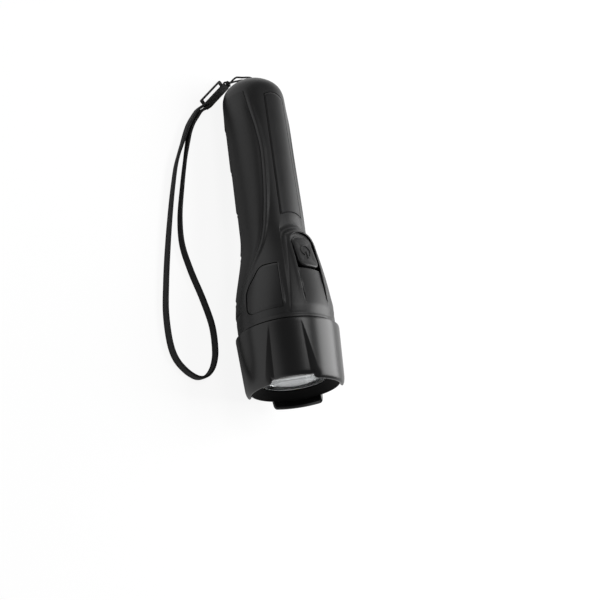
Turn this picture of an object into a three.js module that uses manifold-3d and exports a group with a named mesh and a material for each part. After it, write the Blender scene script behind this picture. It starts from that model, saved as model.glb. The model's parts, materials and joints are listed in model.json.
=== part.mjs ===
// A rubber-clad LED torch with a wrist lanyard, lying on its back, in millimetres with +Z up.
// Each piece is shaped in the torch's own frame: stations run along +Y from the tail tip towards the
// head, angles are counted about that axis from the button side (+Z), and the head screws off.
import * as THREE from "three";
import { mergeVertices } from "three/addons/utils/BufferGeometryUtils.js";
import Module from "manifold-3d";

const wasm = await Module();
wasm.setup();

// Driving dimensions
const handleRadius = 18.2;
const handleLength = 102;
const tailStation = 4.4;
const tailLength = 17.6;
const waistRadius = 18;
const flareLength = 52;
const headRadius = 28.3;
const collarInset = 1.8;
const collarRadius = headRadius - collarInset;
const collarLength = 7.6;
const headLength = 30.9;
const bezelTaper = 1.7;
const bezelRadius = headRadius - bezelTaper;
const lugHeight = 4.2;
const lowLugHeight = 1.6;
const cellRadius = 13.1;
const cellLength = 49.2;
const fitGap = 0.3;
const runGap = 0.35;
const overrun = 4;

const collarStation = handleLength + flareLength;
const seamStation = collarStation + collarLength;
const bezelStation = seamStation + headLength;
const tailEnd = tailStation + tailLength;

// Colours of the finishes
const softRubber = { color: 0x1b1b1c, roughness: 0.75, metalness: 0 };
const mattePlastic = { color: 0x17171a, roughness: 0.5, metalness: 0 };
const glossPlastic = { color: 0x101012, roughness: 0.3, metalness: 0 };
const clearPlastic = { color: 0xe6eaec, roughness: 0.05, metalness: 0 };
const chromedPlastic = { color: 0xd8dadc, roughness: 0.08, metalness: 1 };
const whiteSilicone = { color: 0xdcdcd8, roughness: 0.6, metalness: 0 };
const whiteEnamel = { color: 0xe8e8e2, roughness: 0.5, metalness: 0 };
const yellowPhosphor = { color: 0xe8d56a, roughness: 0.4, metalness: 0 };
const castAluminium = { color: 0xb4b6b8, roughness: 0.4, metalness: 1 };
const brassSheet = { color: 0xc9a24b, roughness: 0.35, metalness: 1 };
const springSteel = { color: 0xa9abad, roughness: 0.3, metalness: 1 };
const cellJacket = { color: 0x6d7f8c, roughness: 0.4, metalness: 0 };
const wovenNylon = { color: 0x141415, roughness: 0.9, metalness: 0 };

// Shape tools
const radians = THREE.MathUtils.degToRad;
const lerp = THREE.MathUtils.lerp;
const ease = THREE.MathUtils.smoothstep;

// Reads a value off a table of [station, value] rows, straight between rows.
function readTable(table, station) {
  if (station <= table[0][0]) return table[0][1];
  for (let i = 1; i < table.length; i++) {
    const [after, valueAfter] = table[i];
    const [before, valueBefore] = table[i - 1];
    if (station <= after) return lerp(valueBefore, valueAfter, (station - before) / (after - before));
  }
  return table[table.length - 1][1];
}

// A point at a station, an angle in degrees from the button side and a radius.
function polar(station, angle, radius) {
  return new THREE.Vector3(radius * Math.sin(radians(angle)), station, radius * Math.cos(radians(angle)));
}

// Turns a closed geometry into a solid whose faces point out.
function solidOf(geometry) {
  const bare = geometry.clone();
  for (const name of Object.keys(bare.attributes)) if (name !== "position") bare.deleteAttribute(name);
  const merged = mergeVertices(bare);
  const corners = [];
  for (let i = 0; i < merged.index.count; i += 3) {
    const [a, b, c] = [0, 1, 2].map((k) => merged.index.getX(i + k));
    if (a !== b && b !== c && c !== a) corners.push(a, b, c);
  }
  const build = (indices) =>
    new wasm.Manifold(
      new wasm.Mesh({
        numProp: 3,
        vertProperties: merged.attributes.position.array,
        triVerts: new Uint32Array(indices),
      }),
    );
  const made = build(corners);
  return made.volume() > 0 ? made : build(corners.reverse());
}

function geometryOf(solid) {
  const mesh = solid.getMesh();
  const geometry = new THREE.BufferGeometry();
  const positions = new Float32Array(mesh.numVert * 3);
  for (let i = 0; i < mesh.numVert; i++)
    positions.set(mesh.vertProperties.subarray(i * mesh.numProp, i * mesh.numProp + 3), i * 3);
  geometry.setAttribute("position", new THREE.BufferAttribute(positions, 3));
  geometry.setIndex(new THREE.BufferAttribute(mesh.triVerts, 1));
  geometry.computeVertexNormals();
  return geometry;
}

// A turned solid: rows of [radius, station] round the torch's axis, closed on itself or on the axis.
function turned(rows, sides = 40) {
  const points = rows.map(([radius, station]) => new THREE.Vector2(radius, station));
  const onAxis = rows[0][0] === 0 && rows[rows.length - 1][0] === 0;
  if (!onAxis) points.push(points[0].clone());
  return solidOf(new THREE.LatheGeometry(points, sides));
}

// A turned solid whose rows are functions of the angle: each row gives { station, radius } at an angle.
function shaped(rows, columnAngles) {
  const counted = rows.map((row, i) => new THREE.Vector2(1, i));
  const closed = rows[0].pole ? counted : [...counted, new THREE.Vector2(1, 0)];
  const sides = columnAngles.length;
  const geometry = new THREE.LatheGeometry(closed, sides);
  const position = geometry.attributes.position;
  const perColumn = closed.length;
  for (let i = 0; i < position.count; i++) {
    const column = columnAngles[Math.floor(i / perColumn) % sides];
    const row = rows[(i % perColumn) % rows.length];
    const place = row.at(column);
    const point = polar(place.station, place.angle ?? column, place.radius);
    position.setXYZ(i, point.x, point.y, point.z);
  }
  return solidOf(geometry);
}

// A slab bent round the axis: place(u, v) gives its station and angle, inner and outer its radii.
function bentSlab({ place, inner, outer, alongShares, acrossShares }) {
  const geometry = new THREE.BoxGeometry(1, 1, 1, acrossShares.length - 1, 1, alongShares.length - 1);
  const position = geometry.attributes.position;
  const half = 0.5;
  for (let i = 0; i < position.count; i++) {
    const acrossIndex = Math.round((position.getX(i) + half) * (acrossShares.length - 1));
    const alongIndex = Math.round((position.getZ(i) + half) * (alongShares.length - 1));
    const u = alongShares[alongIndex];
    const v = acrossShares[acrossIndex];
    const { station, angle } = place(u, v);
    const radius = position.getY(i) > 0 ? outer(station, angle, v) : inner(station, angle, v);
    const point = polar(station, angle, radius);
    position.setXYZ(i, point.x, point.y, point.z);
  }
  return solidOf(geometry);
}

const evenShares = (count) => Array.from({ length: count + 1 }, (_, i) => i / count);

// An outline drawn in plan (across, station), raised from one height to another.
function raised(shape, bottom, top, bevel = 0) {
  const geometry = new THREE.ExtrudeGeometry(shape, {
    depth: top - bottom - 2 * bevel,
    bevelEnabled: bevel > 0,
    bevelSize: bevel,
    bevelOffset: -bevel,
    bevelThickness: bevel,
    bevelSegments: 2,
    curveSegments: 5,
  });
  geometry.translate(0, 0, bottom + bevel);
  return geometry;
}

// A side outline of [station, height] rows, as wide as asked across the torch.
function sideways(rows, width, across = 0) {
  const shape = new THREE.Shape(rows.map(([station, height]) => new THREE.Vector2(station, height)));
  const geometry = new THREE.ExtrudeGeometry(shape, { depth: width, bevelEnabled: false });
  geometry.translate(0, 0, across - width / 2);
  const [x, y, z] = [new THREE.Vector3(1, 0, 0), new THREE.Vector3(0, 1, 0), new THREE.Vector3(0, 0, 1)];
  return solidOf(geometry.applyMatrix4(new THREE.Matrix4().makeBasis(y, z, x)));
}

function block(width, length, height, x, station, z) {
  return solidOf(new THREE.BoxGeometry(width, length, height).translate(x, station, z));
}

function rod(radius, from, to, x, z, sides = 20) {
  const length = to - from;
  const cylinder = new THREE.CylinderGeometry(radius, radius, length, sides);
  return solidOf(cylinder.translate(x, from + length / 2, z));
}

function roundedRect(halfWidth, from, to, corner) {
  const shape = new THREE.Shape();
  shape.moveTo(-halfWidth, from + corner);
  shape.absarc(-halfWidth + corner, to - corner, corner, Math.PI, Math.PI / 2, true);
  shape.absarc(halfWidth - corner, to - corner, corner, Math.PI / 2, 0, true);
  shape.absarc(halfWidth - corner, from + corner, corner, 0, -Math.PI / 2, true);
  shape.absarc(-halfWidth + corner, from + corner, corner, -Math.PI / 2, -Math.PI, true);
  return shape;
}

// The torch and the parts of it that move, as groups of named meshes
const torch = new THREE.Group();

function addPiece(name, solid, finish) {
  const mesh = new THREE.Mesh(geometryOf(solid), new THREE.MeshStandardMaterial(finish));
  mesh.name = name;
  torch.add(mesh);
  return mesh;
}

// Outer form: the round body without the button's boss. The tail is a small flat, a slant and a round,
// as shares of its length and of the handle's radius.
const tailShares = [
  [0, 0],
  [0, 0.286],
  [0.028, 0.363],
  [0.091, 0.5],
  [0.182, 0.643],
  [0.273, 0.758],
  [0.375, 0.857],
  [0.489, 0.929],
  [0.631, 0.973],
  [0.801, 0.995],
  [1, 1],
];

function bodyRadius(station) {
  if (station < tailEnd) return handleRadius * readTable(tailShares, (station - tailStation) / tailLength);
  const straight = lerp(handleRadius, waistRadius, ease(station, tailEnd, handleLength));
  return straight + (collarRadius - waistRadius) * ease(station, handleLength, collarStation);
}

// The boss is a raised spine that starts in an arched hood behind the button and runs out at the collar.
const hoodStation = 106;
const hoodArch = 4;
const hoodRise = 3.5;
const bossStartRise = 2.8;
const bossEndRise = 0.6;
const bossStartRadius = handleRadius + bossStartRise;
const bossEndRadius = collarRadius + bossEndRise;
const flankTopAngles = { start: 24.5, end: 36 };
const flankFootAngles = { start: 31, end: 38 };
const bossEndOffset = 1.6;
const bossEndStation = seamStation - bossEndOffset;

function bossShare(station) {
  return THREE.MathUtils.clamp((station - hoodStation) / (bossEndStation - hoodStation), 0, 1);
}
function flankTop(station) {
  return lerp(flankTopAngles.start, flankTopAngles.end, bossShare(station));
}
function flankFoot(station) {
  return lerp(flankFootAngles.start, flankFootAngles.end, bossShare(station));
}
function bossRadius(station) {
  const left = 1 - bossShare(station);
  const ridge = bossStartRadius + (bossEndRadius - bossStartRadius) * (1 - left * left);
  const skin = bodyRadius(station);
  return Math.max(lerp(ridge, skin, ease(station, collarStation, bossEndStation)), skin);
}

// Cells, the contacts behind them and the stations that follow from them
const boreGap = 0.6;
const boreRadius = cellRadius + boreGap;
const tailPlugLength = 9.7;
const contactThickness = 0.6;
const springLength = 6.8;
const boreStation = tailStation + tailPlugLength;
const contactStation = boreStation + fitGap;
const springStation = contactStation + contactThickness + fitGap;
const firstCellStation = springStation + springLength + fitGap;
const secondCellStation = firstCellStation + cellLength + fitGap;
const stackEnd = secondCellStation + cellLength;

// Body shell
const cellTubeMargin = 1.6;
const cellTubeEnd = stackEnd + cellTubeMargin;
const neckLength = 12;
const neckStart = seamStation - neckLength;
const flareWall = 4.6;
const threadWall = 3.45;
const threadGap = 0.65;
const neckWall = 2;
const threadRadius = headRadius - threadWall;
const spigotRadius = threadRadius - threadGap;
const neckRadius = spigotRadius - neckWall;
const spigotLength = 9;
const seamGap = 0.35;
const ringGrooveDepth = 1.2;
const ringGrooveRadius = spigotRadius - ringGrooveDepth;
const ringGrooveWidth = 1.8;
const ringOffset = 6.4;
const ringStation = seamStation + ringOffset;
const creaseOffset = 2.2;
const creaseDepth = 0.35;
const creaseHalfWidth = 0.5;
const creaseStation = seamStation - creaseOffset;

// Columns round the body: degrees, or the top and foot of the boss's flank, which drift with the station
const halfColumns = [9, 17, "top", "foot", 46, 56, 68, 82, 97, 112, 127, 142, 157, 172];
const bodyColumns = [
  { from: 0, side: 1 },
  ...halfColumns.map((from) => ({ from, side: 1 })),
  ...[...halfColumns].reverse().map((from) => ({ from, side: -1 })),
];

function columnAngle({ from, side }, station) {
  if (from === "top") return side * flankTop(station);
  if (from === "foot") return side * flankFoot(station);
  return side * from;
}

// A row of the body: its station may follow the angle, and its radius may follow the boss.
function bodyRow(stationAt, radiusAt) {
  return {
    at(column) {
      const station = stationAt(Math.abs(columnAngle(column, hoodStation)));
      const onBoss = column.from === 0 || column.from === "top" || column.from <= flankTopAngles.start;
      return { station, angle: columnAngle(column, station), radius: radiusAt(station, onBoss) };
    },
  };
}

const hoodArchAt = (angle) => hoodArch * Math.min(1, (angle / flankFootAngles.start) ** 2);
const plainRow = (station, radius) => bodyRow(() => station, () => radius);
const skinRow = (station) => bodyRow(() => station, bodyRadius);
const bossOrSkin = (station, onBoss) => (onBoss ? bossRadius(station) : bodyRadius(station));
const bossRow = (station) => bodyRow(() => station, bossOrSkin);

function bodyBlank() {
  const handleShares = [0.33, 0.66, 1];
  const bossShares = [0, 0.11, 0.22, 0.33, 0.44, 0.55, 0.66, 0.77, 0.88];
  const flareShares = [0.65, 0.25];
  const bossRowsStart = pocketStation + pocketArch;
  const spigotEnd = seamStation + spigotLength;
  const tailRow = ([share, wide]) => plainRow(tailStation + share * tailLength, wide * handleRadius);
  const rows = [
    { pole: true, at: plainRow(tailStation, 0).at },
    ...tailShares.slice(1).map(tailRow),
    ...handleShares.map((share) => skinRow(lerp(tailEnd, handleLength, share))),
    bodyRow((angle) => hoodStation + hoodArchAt(angle), bodyRadius),
    bodyRow((angle) => hoodStation + hoodRise + hoodArchAt(angle), bossOrSkin),
    ...bossShares.map((share) => bossRow(lerp(bossRowsStart, creaseStation, share))),
    bossRow(creaseStation - creaseHalfWidth),
    plainRow(creaseStation, collarRadius - creaseDepth),
    plainRow(creaseStation + creaseHalfWidth, collarRadius),
    plainRow(seamStation, collarRadius),
    plainRow(seamStation, spigotRadius),
    plainRow(spigotEnd, spigotRadius),
    plainRow(spigotEnd, neckRadius),
    plainRow(neckStart, neckRadius),
  ];
  for (const share of flareShares) {
    const station = lerp(cellTubeEnd, neckStart, share);
    rows.push(plainRow(station, Math.max(bodyRadius(station) - flareWall, boreRadius)));
  }
  rows.push(plainRow(cellTubeEnd, boreRadius), plainRow(boreStation, boreRadius), plainRow(boreStation, 0));
  return shaped(rows, bodyColumns);
}

// Grip sleeve: runs round the back from one front edge to the other, with stepped finger grooves
const sleeveStation = 19;
const sleeveEndOffset = 3;
const sleeveEnd = collarStation - sleeveEndOffset;
const sleeveDepth = 1.9;
const sleeveRise = 0.5;
const sleeveEdgeDrop = 0.5;
const sleeveEdgeShare = 0.06;
const swellStartShare = 0.2;
const grooveFirst = 34;
const groovePitch = 26.5;
const grooveCount = 5;
const grooveDepth = 0.5;
const grooveHalfWidth = 1.2;
const grooveAngles = { start: 118, full: 128 };
const sleeveEdgeAngles = [
  [0, 60],
  [0.1, 54],
  [0.19, 48],
  [0.295, 44.5],
  [0.4, 46.5],
  [0.51, 51],
  [0.636, 60],
  [0.727, 70],
  [0.81, 84],
  [0.88, 94],
  [0.93, 99],
  [1, 101],
];
const grooveStations = Array.from({ length: grooveCount }, (_, k) => grooveFirst + k * groovePitch);

function sleeveEdge(station) {
  return readTable(sleeveEdgeAngles, (station - sleeveStation) / (sleeveEnd - sleeveStation));
}

// Between two grooves the sleeve swells towards the head, then steps back down.
function sleeveSwell(station) {
  const phase = (((station - grooveFirst) / groovePitch) % 1 + 1) % 1;
  return sleeveRise * lerp(swellStartShare, 1, phase);
}

// 1 in the middle of a slab, falling to 0 between two shares from either edge.
function insideShare(v, start, end) {
  return ease(v, start, end) * ease(1 - v, start, end);
}

// The grooves run round the back, from one side to the other.
function grooveReach(angle) {
  const fromFront = Math.min(angle, 360 - angle);
  return ease(fromFront, grooveAngles.start, grooveAngles.full);
}

function sleeveRadius(station, angle, v) {
  const endLength = 2 * grooveHalfWidth;
  const fromEnds = ease(station, sleeveStation, sleeveStation + endLength);
  const inFromEnd = fromEnds * (1 - ease(station, sleeveEnd - endLength, sleeveEnd));
  const inward = insideShare(v, 0, sleeveEdgeShare) * inFromEnd;
  const inGroove = grooveStations.some((middle) => Math.abs(station - middle) < grooveHalfWidth / 2);
  const groove = inGroove ? grooveDepth * grooveReach(angle) : 0;
  return bodyRadius(station) + sleeveSwell(station) * inward - sleeveEdgeDrop * (1 - inward) - groove;
}

function sleeveSolid(margin) {
  const endLength = 2 * grooveHalfWidth;
  const stations = [sleeveStation - margin, sleeveStation + grooveHalfWidth, sleeveStation + endLength];
  for (const middle of grooveStations) {
    stations.push(middle - groovePitch / 4, middle - grooveHalfWidth, middle);
    stations.push(middle + grooveHalfWidth, middle + groovePitch / 4);
  }
  const inside = stations.filter((station) => station < sleeveEnd - endLength);
  inside.push(sleeveEnd - endLength, sleeveEnd - grooveHalfWidth, sleeveEnd + margin);
  const halfShares = [0, 0.03, 0.06, 0.11, 0.18, 0.26, 0.34, 0.42];
  const acrossShares = [...halfShares, 0.5, ...halfShares.map((share) => 1 - share).reverse()];
  const fullTurn = 360;
  const marginAngle = (radius) => THREE.MathUtils.radToDeg(margin / radius);
  return bentSlab({
    place: (u, v) => {
      const station = inside[Math.round(u * (inside.length - 1))];
      const edge = sleeveEdge(station) - marginAngle(bodyRadius(station));
      return { station, angle: lerp(edge, fullTurn - edge, v) };
    },
    outer: margin > 0 ? (station) => bodyRadius(station) + overrun : sleeveRadius,
    inner: (station) => bodyRadius(station) - sleeveDepth - margin,
    alongShares: evenShares(inside.length - 1),
    acrossShares,
  });
}

// Spine panel: the long inlay with an arch at both ends
const panelStation = 20.5;
const panelLength = 78;
const panelDepth = 1.6;
const panelRise = 0.15;
const panelTopArch = 2;
const panelEndArch = 1.8;
const panelHalfAngles = { start: 22, end: 25 };

function panelSolid(margin) {
  const end = panelStation + panelLength;
  return bentSlab({
    place: (u, v) => {
      const across = 2 * v - 1;
      const first = panelStation + panelTopArch * across * across - margin;
      const last = end - panelEndArch * (1 - across * across) + margin;
      const spread = lerp(panelHalfAngles.start, panelHalfAngles.end, u);
      const marginAngle = THREE.MathUtils.radToDeg(margin / handleRadius);
      return { station: lerp(first, last, u), angle: across * (spread + marginAngle) };
    },
    outer: (station) => bodyRadius(station) + (margin > 0 ? overrun : panelRise),
    inner: (station) => bodyRadius(station) - panelDepth - margin,
    alongShares: evenShares(6),
    acrossShares: evenShares(8),
  });
}

// Side panels: inlays low on the flare, cut off along a slant at their upper outer corner
const sidePanelOffset = 26.6;
const sidePanelLength = 26.4;
const sidePanelDepth = 1.4;
const sidePanelFrontAngle = 44.3;
const sidePanelBackAngles = [
  [0, 62],
  [0.07, 71],
  [0.22, 77.5],
  [0.43, 88],
  [0.54, 90.5],
  [0.88, 90.5],
  [1, 85],
];

function sidePanelSolid(side, margin) {
  const first = handleLength + sidePanelOffset;
  const shares = [0, 0.035, 0.07, 0.145, 0.22, 0.325, 0.43, 0.54, 0.71, 0.88, 0.94, 1];
  return bentSlab({
    place: (u, v) => {
      const station = lerp(first - margin, first + sidePanelLength + margin, u);
      const marginAngle = THREE.MathUtils.radToDeg(margin / bodyRadius(station));
      const front = sidePanelFrontAngle - marginAngle;
      return { station, angle: side * lerp(front, readTable(sidePanelBackAngles, u) + marginAngle, v) };
    },
    outer: (station) => bodyRadius(station) + (margin > 0 ? overrun : 0),
    inner: (station) => bodyRadius(station) - sidePanelDepth - margin,
    alongShares: shares,
    acrossShares: evenShares(4),
  });
}

// Button pocket under the hood, and the two slots that leave a tongue below the button
const buttonStation = 113.6;
const buttonLength = 19;
const buttonHalfWidth = 6.8;
const buttonCorner = 4;
const buttonHeight = 2.75;
const buttonRake = 0.142;
const buttonBevel = 0.5;
const buttonTravel = 1.5;
const pocketLead = 3.1;
const pocketHalfWidth = 8.4;
const pocketArch = 6.5;
const pocketFloor = 19.4;
const pocketEndGap = 0.6;
const pocketStation = buttonStation - pocketLead;
const pocketEnd = buttonStation + buttonLength + pocketEndGap;
const tongueHalfWidth = 6.9;
const slotStartHeight = 22.4;
const slotEndHeight = 26;
const slotLength = 23;

function pocketOutline(inset) {
  const halfWidth = pocketHalfWidth - inset;
  const arch = pocketArch - inset;
  const archStation = pocketStation + pocketArch;
  const shape = new THREE.Shape();
  shape.moveTo(halfWidth, archStation);
  shape.lineTo(halfWidth, pocketEnd - inset);
  shape.lineTo(-halfWidth, pocketEnd - inset);
  shape.lineTo(-halfWidth, archStation);
  shape.absellipse(0, archStation, halfWidth, arch, Math.PI, 2 * Math.PI, false, 0);
  return shape;
}

function slotSolid(side) {
  const width = pocketHalfWidth - tongueHalfWidth;
  const lid = slotEndHeight + overrun;
  const rows = [
    [pocketEnd - pocketEndGap, slotStartHeight],
    [pocketEnd + slotLength, slotEndHeight],
    [pocketEnd + slotLength, lid],
    [pocketEnd - pocketEndGap, lid],
  ];
  return sideways(rows, width, side * (tongueHalfWidth + width / 2));
}

// The switch and its opening in the pocket's floor
const switchHalfWidth = 5.9;
const switchLength = 16;
const switchLead = 1.1;
const switchBottom = 14;
const switchTopGap = 0.3;
const plungerRadius = 2.3;
const plungerSink = 1.1;
const plungerHoleDepth = 2.9;
const switchStation = buttonStation + switchLead;
const switchTop = pocketFloor - switchTopGap;
const buttonClearance = 0.4;
const buttonBottom = pocketFloor + buttonTravel + buttonClearance;
const switchMiddle = switchStation + switchLength / 2;

function switchOpening() {
  const height = pocketFloor - switchBottom + overrun;
  const middle = (pocketFloor + switchBottom) / 2;
  return block(2 * (switchHalfWidth + fitGap), switchLength + 2 * fitGap, height, 0, switchMiddle, middle);
}

// The foot at the back of the collar: its underside lies on the floor when the torch lies on its back
const footWidth = 14;
const footLength = 6.4;
const footLead = 0.6;
const footProud = 2.4;
const footHeight = 4.2;
const footReach = collarRadius + footProud;
const footTop = footReach - footHeight;
const footChamfer = 0.8;
const footStation = sleeveEnd + footLead;
const footEnd = footStation + footLength;

// The lying angle at which the tail end and the foot's underside touch one plane
function touchAngle() {
  let angle = 0;
  for (let pass = 0; pass < 6; pass++) {
    let tail = 0;
    for (let k = 0; k <= 60; k++) {
      const station = (k / 60) * (sleeveStation + groovePitch);
      const swell = station < sleeveStation ? 0 : sleeveSwell(station);
      const radius = bodyRadius(station) + swell;
      tail = Math.max(tail, radius * Math.cos(angle) - station * Math.sin(angle));
    }
    angle = Math.asin((footReach * Math.cos(angle) - tail) / (footStation + footLength / 2));
  }
  return angle;
}
const lieAngle = touchAngle();
const footSlope = Math.tan(lieAngle);

function footSolid() {
  const middle = (footStation + footEnd) / 2;
  const under = (station) => -(footReach + (station - middle) * footSlope);
  const rows = [
    [footStation, -footTop],
    [footEnd, -footTop],
    [footEnd, under(footEnd) + footChamfer],
    [footEnd - footChamfer, under(footEnd - footChamfer)],
    [footStation + footChamfer, under(footStation + footChamfer)],
    [footStation, under(footStation) + footChamfer],
  ];
  return sideways(rows, footWidth);
}

// The lanyard's tunnel: a ring cut that leaves a U through the tail's end
const tunnelRing = 5;
const tunnelRadius = 1.35;
const tunnelLead = 1.6;

function tunnelSolid() {
  const ring = new THREE.TorusGeometry(tunnelRing, tunnelRadius, 8, 24);
  return solidOf(ring.translate(0, tailStation + tunnelLead, 0));
}

// The brass return strip and its groove in the bore
const stripHalfWidth = 2;
const stripThickness = 0.5;
const stripLift = 0.2;
const stripBottom = boreRadius + stripLift;
const stripStation = contactStation + contactThickness + fitGap;
const stripEnd = switchStation - fitGap;

function stripGroove() {
  const height = 2 * (stripThickness + fitGap + stripLift);
  const length = stripEnd - boreStation;
  const width = 2 * (stripHalfWidth + fitGap);
  return block(width, length, height, 0, boreStation + length / 2, boreRadius + fitGap);
}

// The foot's seat in the collar
function footSeat() {
  const height = overrun + fitGap;
  const middle = (footStation + footEnd) / 2;
  const [width, length] = [footWidth + 2 * fitGap, footLength + 2 * fitGap];
  return block(width, length, height, 0, middle, fitGap - footTop - height / 2);
}

function bodyShell() {
  const cuts = [
    sleeveSolid(fitGap),
    panelSolid(fitGap),
    sidePanelSolid(1, fitGap),
    sidePanelSolid(-1, fitGap),
    solidOf(raised(pocketOutline(0), pocketFloor, bossEndRadius + overrun)),
    slotSolid(1),
    slotSolid(-1),
    switchOpening(),
    footSeat(),
    tunnelSolid(),
    stripGroove(),
    turned([
      [ringGrooveRadius, ringStation - ringGrooveWidth / 2],
      [spigotRadius + overrun, ringStation - ringGrooveWidth / 2],
      [spigotRadius + overrun, ringStation + ringGrooveWidth / 2],
      [ringGrooveRadius, ringStation + ringGrooveWidth / 2],
    ]),
  ];
  return cuts.reduce((left, cut) => left.subtract(cut), bodyBlank());
}

addPiece("body_shell", bodyShell(), mattePlastic);
addPiece("grip_sleeve", sleeveSolid(0), softRubber);
addPiece("spine_panel", panelSolid(0), mattePlastic);
addPiece("side_panel_left", sidePanelSolid(1, 0), mattePlastic);
addPiece("side_panel_right", sidePanelSolid(-1, 0), mattePlastic);
addPiece("anti_roll_foot", footSolid(), softRubber);

// Button: a raked pad whose top follows the boss
function buttonSolid() {
  const outline = roundedRect(buttonHalfWidth, buttonStation, buttonStation + buttonLength, buttonCorner);
  const geometry = raised(outline, buttonBottom, buttonBottom + buttonHeight, buttonBevel);
  const position = geometry.attributes.position;
  const middle = buttonStation + buttonLength / 2;
  for (let i = 0; i < position.count; i++) {
    const [x, station, z] = [position.getX(i), position.getY(i), position.getZ(i)];
    const share = (z - buttonBottom) / buttonHeight;
    const crown = (x * x) / (2 * bossRadius(station));
    position.setZ(i, z + share * ((station - middle) * buttonRake - crown));
  }
  return solidOf(geometry);
}

const sealThickness = 0.9;
const sealInset = 0.35;
function sealSolid() {
  const outline = pocketOutline(fitGap);
  const [first, last] = [buttonStation - sealInset, buttonStation + buttonLength + sealInset / 2];
  outline.holes.push(roundedRect(buttonHalfWidth + sealInset, first, last, buttonCorner + sealInset));
  return solidOf(raised(outline, pocketFloor + fitGap, pocketFloor + fitGap + sealThickness));
}

function switchSolid() {
  const height = switchTop - switchBottom;
  const middle = switchBottom + height / 2;
  const housing = block(2 * switchHalfWidth, switchLength, height, 0, switchMiddle, middle);
  const holeRadius = plungerRadius + fitGap;
  const hole = new THREE.CylinderGeometry(holeRadius, holeRadius, 2 * plungerHoleDepth, 20);
  hole.rotateX(Math.PI / 2).translate(0, switchMiddle, switchTop);
  return housing.subtract(solidOf(hole));
}

function plungerSolid() {
  const bottom = switchTop - plungerSink;
  const length = buttonBottom - fitGap - bottom;
  const pin = new THREE.CylinderGeometry(plungerRadius, plungerRadius, length, 20);
  return solidOf(pin.rotateX(Math.PI / 2).translate(0, switchMiddle, bottom + length / 2));
}

addPiece("button", buttonSolid(), softRubber);
addPiece("button_seal", sealSolid(), softRubber);
addPiece("switch_housing", switchSolid(), glossPlastic);
addPiece("switch_plunger", plungerSolid(), whiteEnamel);

// Cells and contacts
const cellShoulder = 0.8;
const cellCrimpLength = 3.2;
const nubRadius = 3.7;
const nubHeight = 2.2;

function cellSolid(station) {
  return turned(
    [
      [0, station],
      [cellRadius - cellShoulder, station],
      [cellRadius, station + cellShoulder],
      [cellRadius, station + cellLength - cellCrimpLength],
      [cellRadius - cellShoulder, station + cellLength - nubHeight],
      [nubRadius, station + cellLength - nubHeight],
      [nubRadius, station + cellLength],
      [0, station + cellLength],
    ],
    32,
  );
}

const springWire = 1.2;
const springTurns = 5;
const springRadii = { start: 9, end: 6 };

class SpringCurve extends THREE.Curve {
  getPoint(t) {
    const angle = 2 * Math.PI * springTurns * t;
    const radius = lerp(springRadii.start, springRadii.end, t);
    const rise = springStation + springWire / 2 + t * (springLength - springWire);
    return new THREE.Vector3(radius * Math.cos(angle), rise, radius * Math.sin(angle));
  }
}

function tubeSolid(curve, section, steps) {
  return solidOf(new THREE.ExtrudeGeometry(section, { steps, extrudePath: curve, bevelEnabled: false }));
}

function ovalSection(halfHeight, halfWidth, sides) {
  const corners = Array.from({ length: sides }, (_, k) => {
    const angle = (2 * Math.PI * (k + 0.5)) / sides;
    return new THREE.Vector2(halfHeight * Math.cos(angle), halfWidth * Math.sin(angle));
  });
  return new THREE.Shape(corners);
}

const contactRimGap = 0.4;
const contactRadius = boreRadius - contactRimGap;
addPiece("cell_1", cellSolid(firstCellStation), cellJacket);
addPiece("cell_2", cellSolid(secondCellStation), cellJacket);
addPiece(
  "tail_spring",
  tubeSolid(new SpringCurve(), ovalSection(springWire / 2, springWire / 2, 5), 8 * springTurns),
  springSteel,
);
const contactFace = contactStation + contactThickness;
addPiece("tail_contact", rod(contactRadius, contactStation, contactFace, 0, 0, 32), brassSheet);

function stripSolid() {
  const middle = (stripStation + stripEnd) / 2;
  const height = stripBottom + stripThickness / 2;
  return block(2 * stripHalfWidth, stripEnd - stripStation, stripThickness, 0, middle, height);
}
addPiece("return_strip", stripSolid(), brassSheet);

// Light engine: pin, pedestal, heat sink, board, emitter and reflector, which slide out with the head
const pinHeadRadius = 3;
const pinHeadLength = 1.6;
const pinRadius = 1.7;
const pinRivetLength = 1;
const pedestalRadius = 12.4;
const pedestalWall = 2.6;
const pedestalFloor = 3;
const flangeThickness = 2.5;
const flangeLead = 2.5;
const plugLength = 5.5;
const sinkRadius = 13.6;
const sinkLength = 3.1;
const cupInnerRadius = 10.4;
const cupOuterRadius = 12.6;
const cupLength = 5.6;
const boardRadius = 10.1;
const boardThickness = 1.6;

const pinStation = stackEnd + fitGap;
const pedestalStation = pinStation + pinHeadLength + fitGap;
const flangeStation = seamStation - flangeLead;
const sinkFace = flangeStation + flangeThickness + sinkLength;
const boardStation = sinkFace + fitGap;
const boardFace = boardStation + boardThickness;

function pinSolid() {
  const stemEnd = pedestalStation + pedestalFloor + fitGap;
  return turned(
    [
      [0, pinStation],
      [pinHeadRadius, pinStation],
      [pinHeadRadius, pinStation + pinHeadLength],
      [pinRadius, pinStation + pinHeadLength],
      [pinRadius, stemEnd],
      [pinHeadRadius, stemEnd],
      [pinHeadRadius, stemEnd + pinRivetLength],
      [0, stemEnd + pinRivetLength],
    ],
    20,
  );
}

function pedestalSolid() {
  const end = flangeStation - fitGap;
  const inside = pedestalRadius - pedestalWall;
  return turned([
    [pinRadius + fitGap, pedestalStation],
    [pedestalRadius, pedestalStation],
    [pedestalRadius, end],
    [inside, end],
    [inside, pedestalStation + pedestalFloor],
    [pinRadius + fitGap, pedestalStation + pedestalFloor],
  ]);
}

const screwAcross = 7.9;
const screwHeadRadius = 1.7;
const screwHeadLength = 0.8;
const screwRadius = 0.9;
const screwLength = 4.2;
const smallSides = 12;

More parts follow.
